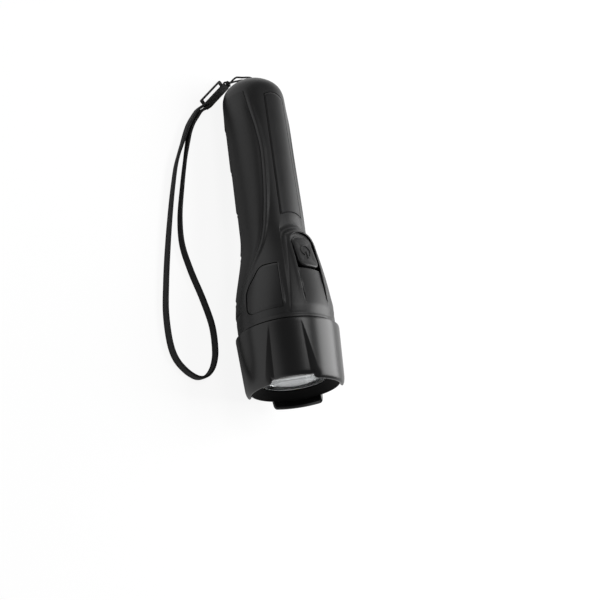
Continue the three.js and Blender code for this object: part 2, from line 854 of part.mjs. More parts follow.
// Takes the two screw holes out of a solid, between two stations.
function drilled(solid, from, to) {
  const hole = (side) => rod(screwRadius + fitGap, from, to, side * screwAcross, 0, smallSides);
  return solid.subtract(hole(1)).subtract(hole(-1));
}

function sinkSolid() {
  const plug = pedestalRadius - pedestalWall - fitGap;
  const flange = neckRadius - fitGap;
  const body = turned([
    [0, flangeStation - plugLength],
    [plug, flangeStation - plugLength],
    [plug, flangeStation],
    [flange, flangeStation],
    [flange, flangeStation + flangeThickness],
    [sinkRadius, flangeStation + flangeThickness],
    [sinkRadius, sinkFace],
    [cupOuterRadius, sinkFace],
    [cupOuterRadius, sinkFace + cupLength],
    [cupInnerRadius, sinkFace + cupLength],
    [cupInnerRadius, sinkFace],
    [0, sinkFace],
  ]);
  return drilled(body, boardFace - screwLength - fitGap, sinkFace + overrun);
}

function boardSolid() {
  const plate = rod(boardRadius, boardStation, boardFace, 0, 0, 32);
  return drilled(plate, boardStation - overrun, boardFace + overrun);
}

function screwSolid(side) {
  const face = boardFace + fitGap;
  const head = rod(screwHeadRadius, face, face + screwHeadLength, side * screwAcross, 0, smallSides);
  const shaftEnd = face + screwHeadLength / 2;
  const shaft = rod(screwRadius, boardFace - screwLength, shaftEnd, side * screwAcross, 0, smallSides);
  return head.add(shaft);
}

const emitterRadius = 2.9;
const emitterBase = 0.8;
const domeRadius = 2;
const domeHeight = 1.7;

function emitterSolid() {
  const base = boardFace + fitGap;
  const rows = [
    [0, base],
    [emitterRadius, base],
    [emitterRadius, base + emitterBase],
  ];
  for (let k = 0; k < 4; k++) {
    const angle = (k / 4) * (Math.PI / 2);
    rows.push([domeRadius * Math.cos(angle), base + emitterBase + domeHeight * Math.sin(angle)]);
  }
  rows.push([0, base + emitterBase + domeHeight]);
  return turned(rows, 20);
}

// Head: lens seat, lens and gasket are set back from the bezel, and the reflector hangs behind the lens
const lensSetBack = 4.6;
const lensThickness = 1.9;
const gasketThickness = 0.7;
const gasketWidth = 1.7;
const lipThickness = 0.5;
const mouthWall = 3.2;
const coneDepth = 5;
const barrelStep = 3.95;
const lensGap = 0.4;
const mouthRadius = bezelRadius - mouthWall;
const lipRadius = mouthRadius - coneDepth;
const barrelRadius = threadRadius - barrelStep;
const lensRadius = barrelRadius - lensGap;
const threadDepth = 11.2;
const lipStation = bezelStation - lensSetBack;
const gasketStation = lipStation - fitGap - gasketThickness;
const lensStation = gasketStation - fitGap - lensThickness;
const reflectorFront = lensStation - fitGap;
const reflectorThroat = 3.6;
const reflectorRim = 2.7;
const reflectorMouth = lensRadius - reflectorRim;
const reflectorWall = 1.3;
const reflectorFlange = 1.4;
const reflectorLead = 0.7;
const reflectorBack = boardFace + reflectorLead;

function reflectorSolid() {
  const length = reflectorFront - reflectorBack;
  const focal = (reflectorMouth ** 2 - reflectorThroat ** 2) / (4 * length);
  const vertex = reflectorBack - reflectorThroat ** 2 / (4 * focal);
  const bowl = (station) => Math.sqrt(4 * focal * (station - vertex));
  const shares = [0, 0.08, 0.22, 0.42, 0.68, 1];
  const flangeBack = reflectorFront - reflectorFlange;
  const rowsTo = (end, wall) =>
    shares.map((share) => {
      const station = lerp(reflectorBack, end, share);
      return [bowl(station) + wall, station];
    });
  const flange = [
    [lensRadius, flangeBack],
    [lensRadius, reflectorFront],
  ];
  return turned([...rowsTo(reflectorFront, 0).reverse(), ...rowsTo(flangeBack, reflectorWall), ...flange]);
}

const turnedSides = 48;
const retainerWall = 1.85;
function retainerSolid() {
  const start = seamStation + threadDepth + fitGap;
  const end = reflectorFront - reflectorFlange - fitGap;
  const outside = barrelRadius - fitGap;
  return turned(
    [
      [outside, start],
      [outside, end],
      [outside - retainerWall, end],
      [outside - retainerWall, start],
    ],
    turnedSides,
  );
}

const recessAngles = [45, 165, 285];
const recessPitch = 120;
const recessDepth = 1.7;
const recessFade = 2.2;
const recessHalfAngles = { start: 18, end: 33 };
const recessSlopeAngles = { start: 0.7, end: 10.5 };
const columnsAcrossRecess = [-33, -27.75, -22.5, -11, 0, 11, 22.5, 27.75, 33];
const columnsBetweenRecesses = [43, 51.5, 60, 68.5, 77];
const headColumns = recessAngles.flatMap((middle) =>
  [...columnsAcrossRecess, ...columnsBetweenRecesses].map((away) => middle + away),
);
const headEdge = 1;
const bezelRound = 1;
const lugHalfAngle = 33;
const lugTaper = 1.4;
const lugTop = bezelRadius - lugTaper;
// Of the three lugs, the one at the back stands out as a tab.
const lugs = [lowLugHeight, lugHeight, lowLugHeight].map((height, k) => ({
  middle: recessAngles[k] + recessPitch / 2,
  front: bezelStation + height,
}));

// The barrel tapers, and between two lugs a recessed panel with sloping sides widens towards the bezel.
function headRadiusAt(station, angle) {
  const start = seamStation + recessFade;
  const share = THREE.MathUtils.clamp((station - start) / (bezelStation - start), 0, 1);
  const turn = THREE.MathUtils.euclideanModulo(angle - recessAngles[0] + recessPitch / 2, recessPitch);
  const away = Math.abs(turn - recessPitch / 2);
  const half = lerp(recessHalfAngles.start, recessHalfAngles.end, share);
  const slope = lerp(recessSlopeAngles.start, recessSlopeAngles.end, share);
  const inside = THREE.MathUtils.clamp((half - away) / slope, 0, 1);
  return lerp(headRadius, bezelRadius, (station - seamStation) / headLength) - recessDepth * share * inside;
}

function headSolid() {
  const row = (station, radius) => ({ at: () => ({ station, radius }) });
  const skin = (station, inset = 0) => ({
    at: (angle) => ({ station, radius: headRadiusAt(station, angle) - inset }),
  });
  const rear = seamStation + seamGap;
  const skinShares = [0.25, 0.5, 0.75];
  const blank = shaped(
    [
      skin(rear, headEdge),
      skin(rear + headEdge),
      ...skinShares.map((share) => skin(lerp(rear + headEdge, bezelStation, share))),
      skin(bezelStation - bezelRound),
      skin(bezelStation, bezelRound),
      row(bezelStation, mouthRadius),
      row(lipStation + lipThickness, lipRadius),
      row(lipStation, lipRadius),
      row(lipStation, barrelRadius),
      row(seamStation + threadDepth, barrelRadius),
      row(seamStation + threadDepth, threadRadius),
      row(rear, threadRadius),
    ],
    headColumns,
  );
  const lugSolids = lugs.map(({ middle, front }) =>
    bentSlab({
      place: (u, v) => ({
        station: lerp(bezelStation - bezelRound / 2, front, u),
        angle: lerp(middle - lugHalfAngle, middle + lugHalfAngle, v),
      }),
      outer: (station) => lerp(bezelRadius - bezelRound, lugTop, ease(station, bezelStation, front)),
      inner: () => mouthRadius + fitGap / 2,
      alongShares: [0, 1 / 2, 1],
      acrossShares: evenShares(10),
    }),
  );
  return lugSolids.reduce((left, lug) => left.add(lug), blank);
}

function ringSolid(radius, station, section) {
  const corners = 6;
  const rows = Array.from({ length: corners }, (_, k) => {
    const angle = (k / corners) * 2 * Math.PI;
    return [radius + section * Math.cos(angle), station + section * Math.sin(angle)];
  });
  return turned(rows);
}

const ringSection = 0.6;
const ringRadius = ringGrooveRadius + fitGap + ringSection;
addPiece("front_contact", pinSolid(), brassSheet);
addPiece("pedestal", pedestalSolid(), mattePlastic);
addPiece("heat_sink", sinkSolid(), castAluminium);
addPiece("led_board", boardSolid(), whiteEnamel);
addPiece("board_screw_1", screwSolid(1), springSteel);
addPiece("board_screw_2", screwSolid(-1), springSteel);
addPiece("led_emitter", emitterSolid(), yellowPhosphor);
addPiece("reflector", reflectorSolid(), chromedPlastic);
addPiece("retainer_ring", retainerSolid(), mattePlastic);
addPiece("lens", rod(lensRadius, lensStation, lensStation + lensThickness, 0, 0, turnedSides), clearPlastic);
addPiece(
  "lens_gasket",
  turned(
    [
      [lensRadius, gasketStation],
      [lensRadius, gasketStation + gasketThickness],
      [lensRadius - gasketWidth, gasketStation + gasketThickness],
      [lensRadius - gasketWidth, gasketStation],
    ],
    turnedSides,
  ),
  whiteSilicone,
);
addPiece("head_shell", headSolid(), glossPlastic);
addPiece("head_o_ring", ringSolid(ringRadius, ringStation, ringSection), softRubber);

// Lanyard: cord, knot, clasp and strap, placed in the part's frame, on the floor beside the torch
const part = new THREE.Group();
const floorGap = 0.2;

function addLoose(name, solid, finish) {
  const mesh = new THREE.Mesh(geometryOf(solid), new THREE.MeshStandardMaterial(finish));
  mesh.name = name;
  part.add(mesh);
}

const cordRadius = 0.55;
const cordSteps = 46;
const cordRoute = [
  [-5.45, 101.15, 4.85],
  [-6.2, 99.9, 7.4],
  [-6.6, 99, 10.2],
  [-6.5, 98.2, 13],
  [-5.9, 97.7, 15.5],
  [-5.2, 97.3, 16.9],
  [-5, 96.4, 17.2],
  [-5, 94.8, 17.3],
  [-4.33, 92.3, 17.5],
  [-2.5, 90.47, 17.65],
  [0, 89.8, 17.7],
  [2.5, 90.47, 17.65],
  [4.33, 92.3, 17.5],
  [5, 94.8, 17.3],
  [5, 96.6, 17.2],
  [4.7, 98.5, 17.2],
  [3, 100, 17.3],
  [0, 100.3, 17.5],
  [-3, 99.6, 17.5],
  [-5.6, 98.9, 17.1],
  [-7, 99.4, 15.4],
  [-6.6, 100.7, 12.9],
  [-5.7, 101.6, 10.2],
  [-4.8, 102.1, 7.4],
  [-4.3, 102.05, 4.85],
];

const strapHeight = 4.6;
const strapThickness = 1.6;
const strapSteps = 62;
const strapRoute = [
  [-23.45, 82.42, 3.5],
  [-26.7, 80.2, 3.5],
  [-30, 77.3, 3.5],
  [-33.6, 72.3, 3.5],
  [-36.7, 67.2, 3.4],
  [-39, 62, 3],
  [-42.1, 53.6, 2.6],
  [-45.3, 45.4, 2.5],
  [-47.7, 38.1, 2.5],
  [-50.2, 26.7, 2.5],
  [-52.3, 15.6, 2.5],
  [-56, -7.8, 2.5],
  [-59, -32.1, 2.5],
  [-60.2, -50, 2.5],
  [-58.2, -67.2, 2.5],
  [-55.2, -73.9, 2.5],
  [-50.7, -78.3, 2.5],
  [-46, -81.1, 2.5],
  [-41.2, -82.3, 2.5],
  [-36, -80.7, 2.5],
  [-32, -76.5, 2.5],
  [-29.5, -70.1, 2.5],
  [-28.9, -63.9, 2.5],
  [-29.9, -52.3, 2.5],
  [-34.9, -38.2, 2.5],
  [-42.1, -22.4, 2.5],
  [-46.7, -8.4, 2.5],
  [-47.1, 6.6, 2.5],
  [-44.2, 26.2, 2.5],
  [-40.9, 43.4, 2.5],
  [-38.5, 54, 2.6],
  [-36.9, 61.1, 3],
  [-34.93, 66.35, 3.4],
  [-31.9, 71.2, 3.5],
  [-28.58, 76.04, 3.5],
  [-25.3, 78.94, 3.5],
  [-22.05, 81.13, 3.5],
];

function routed(route, halfHeight, halfWidth, steps) {
  const points = route.map((point) => new THREE.Vector3(...point));
  const curve = new THREE.CatmullRomCurve3(points, false, "centripetal");
  return tubeSolid(curve, ovalSection(halfHeight, halfWidth, 8), steps);
}

// The clasp lies flat: a thick bar that holds the strap's ends, a slot and a thin bar, and an eye at its end
const claspFoot = { x: -22.2, y: 82 };
const claspTurn = 41.5;
const claspLength = 24;
const claspThinBar = 1.2;
const claspSlot = 1.75;
const claspThickBar = 4.15;
const claspEndBar = 2.2;
const claspPlate = 1.4;
const claspBarHeight = 3.8;
const eyeRadius = 2.3;
const eyeHoleRadius = 1.25;
const eyeReach = 2.2;

function claspSolid() {
  const thickEdge = claspThickBar / 2;
  const slotEdge = -thickEdge - claspSlot;
  const plate = new THREE.Shape();
  plate.moveTo(thickEdge, 0);
  plate.lineTo(thickEdge, claspLength);
  plate.lineTo(slotEdge - claspThinBar, claspLength);
  plate.lineTo(slotEdge - claspThinBar, 0);
  const slot = new THREE.Path();
  slot.moveTo(slotEdge, claspEndBar);
  slot.lineTo(slotEdge, claspLength - claspEndBar);
  slot.lineTo(-thickEdge, claspLength - claspEndBar);
  slot.lineTo(-thickEdge, claspEndBar);
  plate.holes.push(slot);
  const bar = new THREE.BoxGeometry(claspThickBar, claspLength, claspBarHeight);
  bar.translate(0, claspLength / 2, floorGap + claspBarHeight / 2);
  const eye = new THREE.CylinderGeometry(eyeRadius, eyeRadius, claspPlate, 20);
  eye.rotateX(Math.PI / 2).translate(0, claspLength + eyeReach, floorGap + claspPlate / 2);
  const hole = new THREE.CylinderGeometry(eyeHoleRadius, eyeHoleRadius, 2 * overrun, 16);
  hole.rotateX(Math.PI / 2).translate(0, claspLength + eyeReach, 0);
  const whole = solidOf(raised(plate, floorGap, floorGap + claspPlate)).add(solidOf(bar)).add(solidOf(eye));
  return whole.subtract(solidOf(hole));
}

// Stands a solid on the clasp's own line: its +Y runs from the strap's end to the eye.
function onClasp(solid) {
  return solid.rotate([0, 0, -claspTurn]).translate([claspFoot.x, claspFoot.y, 0]);
}

// The knot: a ball over the eye with a stub that stands in it
const knotRadius = 1.8;
const knotHeight = 2.6;
const knotSides = 16;
function knotSolid() {
  const stub = eyeHoleRadius - fitGap;
  const shoulder = floorGap + claspPlate + fitGap;
  const ballShares = [
    [0.8, 0],
    [1, 0.35],
    [0.85, 0.75],
    [0.5, 1],
    [0, 1],
  ];
  const rows = [
    [0, floorGap + fitGap],
    [stub, floorGap + fitGap],
    [stub, shoulder],
    ...ballShares.map(([across, up]) => [knotRadius * across, shoulder + knotHeight * up]),
  ];
  const profile = rows.map(([radius, height]) => new THREE.Vector2(radius, height));
  const standing = new THREE.LatheGeometry(profile, knotSides);
  return solidOf(standing.rotateX(Math.PI / 2).translate(0, claspLength + eyeReach, 0));
}

addLoose("lanyard_cord", routed(cordRoute, cordRadius, cordRadius, cordSteps), wovenNylon);
addLoose("lanyard_knot", onClasp(knotSolid()), wovenNylon);
addLoose("lanyard_clasp", onClasp(claspSolid()), glossPlastic);
addLoose("lanyard_strap", routed(strapRoute, strapHeight / 2, strapThickness / 2, strapSteps), wovenNylon);

// The torch lies on its back: head towards -Y, button up, tail and foot on the floor
const turnedRound = new THREE.Group();
turnedRound.rotation.z = Math.PI;
turnedRound.add(torch);
const lying = new THREE.Group();
lying.rotation.x = -lieAngle;
lying.add(turnedRound);
part.add(lying);
lying.updateMatrixWorld(true);
const box = new THREE.Box3().setFromObject(lying, true);
const middle = box.getCenter(new THREE.Vector3());
lying.position.set(-middle.x, -middle.y, -box.min.z);
part.updateMatrixWorld(true);

export default part;
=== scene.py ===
"""A rubber-clad LED torch with a wrist lanyard, lying on its back on a pale floor."""

import json
from math import asin, atan2, copysign, cos, degrees, hypot, pi, radians, sin, sqrt, tan, tau

import bmesh
import bpy
from mathutils import Matrix, Vector


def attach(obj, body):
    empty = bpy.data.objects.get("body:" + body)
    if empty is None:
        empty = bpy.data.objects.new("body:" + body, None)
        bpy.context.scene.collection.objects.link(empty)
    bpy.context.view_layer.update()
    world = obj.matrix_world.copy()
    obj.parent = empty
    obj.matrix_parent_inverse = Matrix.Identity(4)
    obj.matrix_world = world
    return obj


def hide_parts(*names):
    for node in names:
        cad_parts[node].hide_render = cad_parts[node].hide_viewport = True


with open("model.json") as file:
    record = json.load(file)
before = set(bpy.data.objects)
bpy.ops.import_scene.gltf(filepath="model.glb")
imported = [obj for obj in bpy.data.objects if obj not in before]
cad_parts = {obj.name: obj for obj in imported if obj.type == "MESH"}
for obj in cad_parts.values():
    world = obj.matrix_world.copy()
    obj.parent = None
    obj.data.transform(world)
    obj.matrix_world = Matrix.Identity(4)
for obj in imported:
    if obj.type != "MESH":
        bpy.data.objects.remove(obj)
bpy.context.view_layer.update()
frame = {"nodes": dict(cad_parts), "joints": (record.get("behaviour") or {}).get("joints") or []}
JOINTS = {joint["name"]: joint for joint in frame["joints"]}
MM = 0.001

# The torch's own frame: x across, station along the axis from the tail tip, height towards the button
SEAM = 161.6
AXIS = Vector(JOINTS["head_turn"]["axis"])
ACROSS = Vector((-1, 0, 0))
HEIGHT = ACROSS.cross(AXIS)
TAIL = Vector(JOINTS["head_turn"]["pos_m"]) - AXIS * SEAM * MM
TORCH = Matrix.Translation(TAIL) @ Matrix((ACROSS, AXIS, HEIGHT)).transposed().to_4x4() @ Matrix.Scale(MM, 4)
WORLD = Matrix.Scale(MM, 4)

# Outer form, in millimetres
HANDLE_RADIUS = 18.2
HANDLE_LENGTH = 102.0
TAIL_STATION = 4.4
TAIL_LENGTH = 17.6
TAIL_SHARES = [
    (0.0, 0.286), (0.167, 0.363), (0.302, 0.5), (0.427, 0.643), (0.522, 0.758), (0.612, 0.857),
    (0.699, 0.929), (0.794, 0.973), (0.895, 0.995), (1.0, 1.0),
]
WAIST_RADIUS = 18.0
COLLAR_RADIUS = 26.5
COLLAR = 154.0
HEAD_RADIUS = 28.3
BEZEL_RADIUS = 26.6
BEZEL = 192.5
GAP = 0.3

# Camera: the photograph's view, rolled so that the torch stands head down in the picture
CAMERA_PLACE = Vector((-395.024, -220.920, 452.080)) * MM
CAMERA_FORWARD = Vector((0.66247, 0.29554, -0.68833))
CAMERA_RIGHT = Vector((0.73675, -0.09098, 0.67001))
FOCAL_PIXELS = 1111.0
PICTURE_PIXELS = 600.0
SENSOR = 36.0


def add_object(name, data):
    holder = bpy.data.objects.new(name, data)
    bpy.context.scene.collection.objects.link(holder)
    return holder


def add_camera():
    camera = bpy.data.cameras.new("camera")
    camera.sensor_width = SENSOR
    camera.lens = FOCAL_PIXELS * SENSOR / PICTURE_PIXELS
    camera.clip_start = 0.01
    holder = add_object("camera", camera)
    back = -CAMERA_FORWARD.normalized()
    right = (CAMERA_RIGHT - back * CAMERA_RIGHT.dot(back)).normalized()
    turned = Matrix((right, back.cross(right), back)).transposed().to_4x4()
    holder.matrix_world = Matrix.Translation(CAMERA_PLACE) @ turned
    bpy.context.scene.camera = holder


add_camera()


# Small tools; points of a bmesh that lie nearer than MERGE, in mm, become one
MERGE = 0.0005


def mix(low, high, share):
    return low + (high - low) * share


def clamp(value, low=0.0, high=1.0):
    return max(low, min(high, value))


def ease(value, low, high):
    share = clamp((value - low) / (high - low))
    return share * share * (3 - 2 * share)


def bump(value, middle, half_width):
    """1 in the middle, falling smoothly to 0 at half_width."""
    away = abs(value - middle) / half_width
    return 0.5 + 0.5 * cos(pi * away) if away < 1 else 0.0


def bead(value, form):
    """A raised line, given as its middle, half width and height."""
    middle, half_width, height = form
    return height * bump(value, middle, half_width)


def quarter(share):
    """The drop of a quarter circle of radius 1, from 0 at its start to 1 at its end."""
    return 1 - sqrt(1 - share * share)


def read_table(table, key):
    key = clamp(key, table[0][0], table[-1][0])
    for (low, low_value), (high, high_value) in zip(table, table[1:]):
        if key <= high:
            return mix(low_value, high_value, (key - low) / (high - low))


def read_smooth(table, key):
    """Reads a table as a smooth curve that never overshoots its points."""
    key = clamp(key, table[0][0], table[-1][0])
    slopes = [(b[1] - a[1]) / (b[0] - a[0]) for a, b in zip(table, table[1:])]
    turns = [slopes[0]]
    for before, after in zip(slopes, slopes[1:]):
        turns.append(2 * before * after / (before + after) if before * after > 0 else 0.0)
    turns.append(slopes[-1])
    i = next(k for k in range(len(slopes)) if key <= table[k + 1][0])
    (low, start), (high, end) = table[i], table[i + 1]
    width = high - low
    t = (key - low) / width
    bend = t * (1 - t) * width
    return mix(start, end, t * t * (3 - 2 * t)) + bend * (turns[i] * (1 - t) - turns[i + 1] * t)


def polar(station, angle, radius):
    turn = radians(angle)
    return radius * sin(turn), station, radius * cos(turn)


def steps(low, high, count):
    return [mix(low, high, i / count) for i in range(count + 1)]


def spread(stops):
    """Joins stretches given as (value, count to the next value)."""
    values = []
    for (low, count), (high, _) in zip(stops, stops[1:]):
        values += steps(low, high, count)[:-1]
    return values + [stops[-1][0]]


def mesh_object(name, bm):
    mesh = bpy.data.meshes.new(name)
    bm.to_mesh(mesh)
    bm.free()
    return add_object(name, mesh)


def finish_mesh(name, bm, material, node_name=None, place=TORCH, body="torch_body", sharp=32.0):
    """Turns a bmesh in millimetres into a finished piece that rides on a body and stands for a CAD node."""
    bmesh.ops.recalc_face_normals(bm, faces=bm.faces)
    bm.transform(place)
    piece = mesh_object(name, bm)
    mesh = piece.data
    mesh.shade_smooth()
    mesh.set_sharp_from_angle(angle=radians(sharp))
    mesh.materials.append(material)
    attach(piece, body)
    if node_name:
        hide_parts(node_name)
    return piece


def grid(columns, rows, at, wrap=False, uv=None):
    """A grid whose point (column, row) is put where at(column, row) says."""
    bm = bmesh.new()
    across, along = len(columns) - 1, len(rows) - 1
    bmesh.ops.create_grid(bm, x_segments=across, y_segments=along, size=0.5)
    layer = bm.loops.layers.uv.new("UVMap") if uv else None
    cells = {}
    for vertex in bm.verts:
        cells[vertex] = (round((vertex.co.x + 0.5) * across), round((vertex.co.y + 0.5) * along))
    if uv:
        for face in bm.faces:
            for loop in face.loops:
                column, row = cells[loop.vert]
                loop[layer].uv = uv(columns[column], rows[row])
    for vertex, (column, row) in cells.items():
        vertex.co = at(columns[column], rows[row])
    if wrap:
        bmesh.ops.remove_doubles(bm, verts=bm.verts, dist=MERGE)
    return bm


def lathe(profile, sides=96):
    """A closed solid of revolution about the torch's axis, from (radius, station) points."""
    rows = profile if profile[0][0] == 0 else [*profile, profile[0]]

    def at(angle, point):
        return polar(point[1], angle, point[0])

    return grid(steps(0, 360, sides), rows, at, wrap=True)


def rounded(profile, radius, corners):
    """Rounds the named corners of a profile with short arcs."""
    result = []
    for i, point in enumerate(profile):
        if i not in corners:
            result.append(point)
            continue
        here = Vector(point)
        before = (Vector(profile[i - 1]) - here).normalized() * radius
        after = (Vector(profile[(i + 1) % len(profile)]) - here).normalized() * radius
        for t in steps(0, 1, 3):
            spot = here + before * (1 - t) ** 2 + after * t * t
            result.append((spot.x, spot.y))
    return result


def squared(u, v, half_x, half_y, corner):
    """Maps the square from -1 to 1 onto a rectangle with rounded corners."""
    x, y = u * half_x, v * half_y
    over_x, over_y = abs(x) - (half_x - corner), abs(y) - (half_y - corner)
    if over_x > 0 and over_y > 0:
        reach = max(over_x, over_y)
        length = hypot(over_x, over_y)
        x = copysign(half_x - corner + over_x / length * reach, x)
        y = copysign(half_y - corner + over_y / length * reach, y)
    return x, y


def extrude(bm, faces, axis, value):
    """Makes a solid of flat faces: their copy lies at one value on one axis."""
    for item in bmesh.ops.extrude_face_region(bm, geom=faces)["geom"]:
        if isinstance(item, bmesh.types.BMVert):
            item.co[axis] = value


def two_layers(columns, rows, at):
    """A closed solid between two grids: at(column, row, side) places a point, with side 1 or -1."""
    bm = grid(columns, rows, lambda column, row: Vector((column, row, 1)))
    extrude(bm, bm.faces[:], 2, -1)
    for vertex in bm.verts:
        vertex.co = at(*vertex.co)
    return bm


def curved_slab(columns, rows, place, outer, inner):
    """A slab bent round the axis: place(column, row) gives station and angle, outer and inner radii."""

    def at(column, row, side):
        station, angle = place(column, row)
        radius = outer(station, angle, column, row) if side > 0 else inner(station, angle)
        return polar(station, angle, radius)

    return two_layers(columns, rows, at)


def cut(base, cutters):
    """Takes solids away from a solid, and gives back the bmesh."""
    made = []
    for bm in [base, *cutters]:
        bmesh.ops.recalc_face_normals(bm, faces=bm.faces)
        made.append(mesh_object("cutter", bm))
    for cutter in made[1:]:
        modifier = made[0].modifiers.new("cut", "BOOLEAN")
        modifier.operation = "DIFFERENCE"
        modifier.solver = "EXACT"
        modifier.object = cutter
    bpy.context.view_layer.update()
    result = bmesh.new()
    result.from_object(made[0], bpy.context.evaluated_depsgraph_get())
    for holder in made:
        mesh = holder.data
        bpy.data.objects.remove(holder)
        bpy.data.meshes.remove(mesh)
    return result


# Outer form of the shell, in the torch's frame
TAIL_END = TAIL_STATION + TAIL_LENGTH


def body_radius(station):
    if station < TAIL_END:
        share = clamp((station - TAIL_STATION) / TAIL_LENGTH)
        return HANDLE_RADIUS * read_smooth(TAIL_SHARES, sqrt(share))
    straight = mix(HANDLE_RADIUS, WAIST_RADIUS, ease(station, TAIL_END, HANDLE_LENGTH))
    return straight + (COLLAR_RADIUS - WAIST_RADIUS) * ease(station, HANDLE_LENGTH, COLLAR)


HOOD = 106.0
HOOD_ARCH = 4.0
HOOD_RISE = 4.2
BOSS_RADII = (21.0, 27.1)
BOSS_END = SEAM - 1.6
FLANK_TOP = (24.5, 36.0)
FLANK_FOOT = (31.0, 38.0)
FLANK_FREE = 58.0
FLANK_SOFT = 0.3
FLANK_CURVE = 0.45


def boss_share(station):
    return clamp((station - HOOD) / (BOSS_END - HOOD))


def boss_radius(station):
    left = 1 - boss_share(station)
    ridge = mix(*BOSS_RADII, 1 - left * left)
    return max(mix(ridge, body_radius(station), ease(station, COLLAR, BOSS_END)), body_radius(station))


def shell_angle(column, station):
    """Columns count degrees at the hood; further on they follow the boss's flank outwards."""
    share = boss_share(station)
    top, foot = mix(*FLANK_TOP, share), mix(*FLANK_FOOT, share)
    table = [(0, 0), (FLANK_TOP[0], top), (FLANK_FOOT[0], foot), (FLANK_FREE, FLANK_FREE), (180, 180)]
    return copysign(read_table(table, abs(column)), column)


# Front edge of the grip sleeve, in degrees along its length
SLEEVE = 19.0
SLEEVE_END = COLLAR - 3.0
SLEEVE_DEPTH = 1.9
SLEEVE_RISE = 0.55
SLEEVE_EDGE = [
    (0.0, 60.0), (0.1, 54.0), (0.19, 48.0), (0.295, 44.5), (0.4, 46.5), (0.51, 51.0), (0.636, 60.0),
    (0.727, 70.0), (0.81, 84.0), (0.88, 94.0), (0.93, 99.0), (1.0, 101.0),
]


def sleeve_edge(station):
    return read_smooth(SLEEVE_EDGE, (station - SLEEVE) / (SLEEVE_END - SLEEVE))


# Side panels, low on the flare
SIDE = 128.6
SIDE_LENGTH = 26.4
SIDE_DEPTH = 1.4
SIDE_SKIN = (-0.3, 0.05)
SIDE_FRONT = 44.3
RIDGE_END = (150, 155)
SIDE_BACK = [
    (0.0, 64.0), (0.05, 70.5), (0.22, 78.5), (0.42, 88.0), (0.54, 90.8), (0.86, 90.8), (0.94, 89.0),
    (1.0, 84.0),
]

# Lines raised or sunk in the shell's skin: middle, half width and height
HOOD_HOLLOW = (HOOD - 2.2, 3.4, 0.35)
POCKET_BEAD = (0.9, 1.5, 0.3)
SLEEVE_BEAD = (2.0, 2.0, 0.62)
PANEL_RIDGE = (-0.95, 0.95, 0.42)
CREASE = (SEAM - 2.2, 0.9, 0.14)
SLEEVE_SINK = 0.45
TAIL_FADE = (TAIL_END - 6, TAIL_END + 16)

# Button pocket, its floor and the two slots beside the tongue
POCKET = 110.5
POCKET_HALF = 8.4
POCKET_ARCH = 6.5
POCKET_END = 133.2
POCKET_FLOOR = 19.4
TONGUE_HALF = 7.6
TONGUE_STEP = 0.95
SLOT_START = 132.6
SLOT_END = 156.2
SLOT_FLOOR = (22.7, 26.2)
CUT_TOP = 31.0


def pocket_away(across, station):
    """Distance from the button pocket's outline, outwards."""
    centre = POCKET + POCKET_ARCH
    if station < centre:
        stretch = POCKET_HALF / POCKET_ARCH
        return hypot(across, (station - centre) * stretch) - POCKET_HALF
    return abs(across) - POCKET_HALF


def shell_radius(column, station):
    """The shell's skin with its boss, beads and creases."""
    turn = shell_angle(column, station)
    angle = abs(turn)
    away = abs(column)
    base = body_radius(station)
    flank = clamp((FLANK_FOOT[0] + FLANK_SOFT - away) / (FLANK_FOOT[0] - FLANK_TOP[0] + 2 * FLANK_SOFT))
    flank = mix(flank, flank * flank * (3 - 2 * flank), FLANK_CURVE)
    arch = HOOD_ARCH * min(1.0, (angle / FLANK_FOOT[0]) ** 2)
    hood = ease(station, HOOD + arch - 0.4, HOOD + arch + HOOD_RISE)
    radius = base + (boss_radius(station) - base) * flank * hood
    if away < FLANK_FOOT[0]:
        radius -= bead(station - arch, HOOD_HOLLOW)
    if HOOD < station < SLOT_END + 2 and away < FLANK_TOP[0]:
        rim = pocket_away(radius * sin(radians(turn)), station)
        run = ease(station, HOOD + 2, HOOD + 5) * (1 - ease(station, SLOT_END - 16, SLOT_END + 2))
        radius += bead(rim, POCKET_BEAD) * run
        sunk = ease(station, POCKET_END - 3, POCKET_END) * (1 - ease(station, POCKET_END, SLOT_END + 2))
        radius -= TONGUE_STEP * sunk * (1 - ease(rim, -0.75, -0.1))
    arc = radians(sleeve_edge(station) - angle) * base
    start = ease(station, *TAIL_FADE) * (1 - ease(station, SLEEVE_END - 6, SLEEVE_END + 2))
    radius += start * (bead(arc, SLEEVE_BEAD) - SLEEVE_SINK * (1 - ease(arc, -0.5, 1.1)))
    arc = radians(angle - SIDE_FRONT) * base
    fade = ease(station, SIDE - 0.5, SIDE + 3) * (1 - ease(station, *RIDGE_END))
    return radius + bead(arc, PANEL_RIDGE) * fade - bead(station, CREASE)


NECK_RADIUS = 22.2
NECK_START = 149.6
SPIGOT_RADIUS = 24.2
SPIGOT_LENGTH = 9.0
SEAL_GROOVE = (23.0, SPIGOT_RADIUS + 1, SEAM + 5.5, SEAM + 7.3)
BORE_RADIUS = 13.7
BORE_START = 14.1
BORE_END = 122.4
COLLAR_EDGE = (0.3, 0.35)


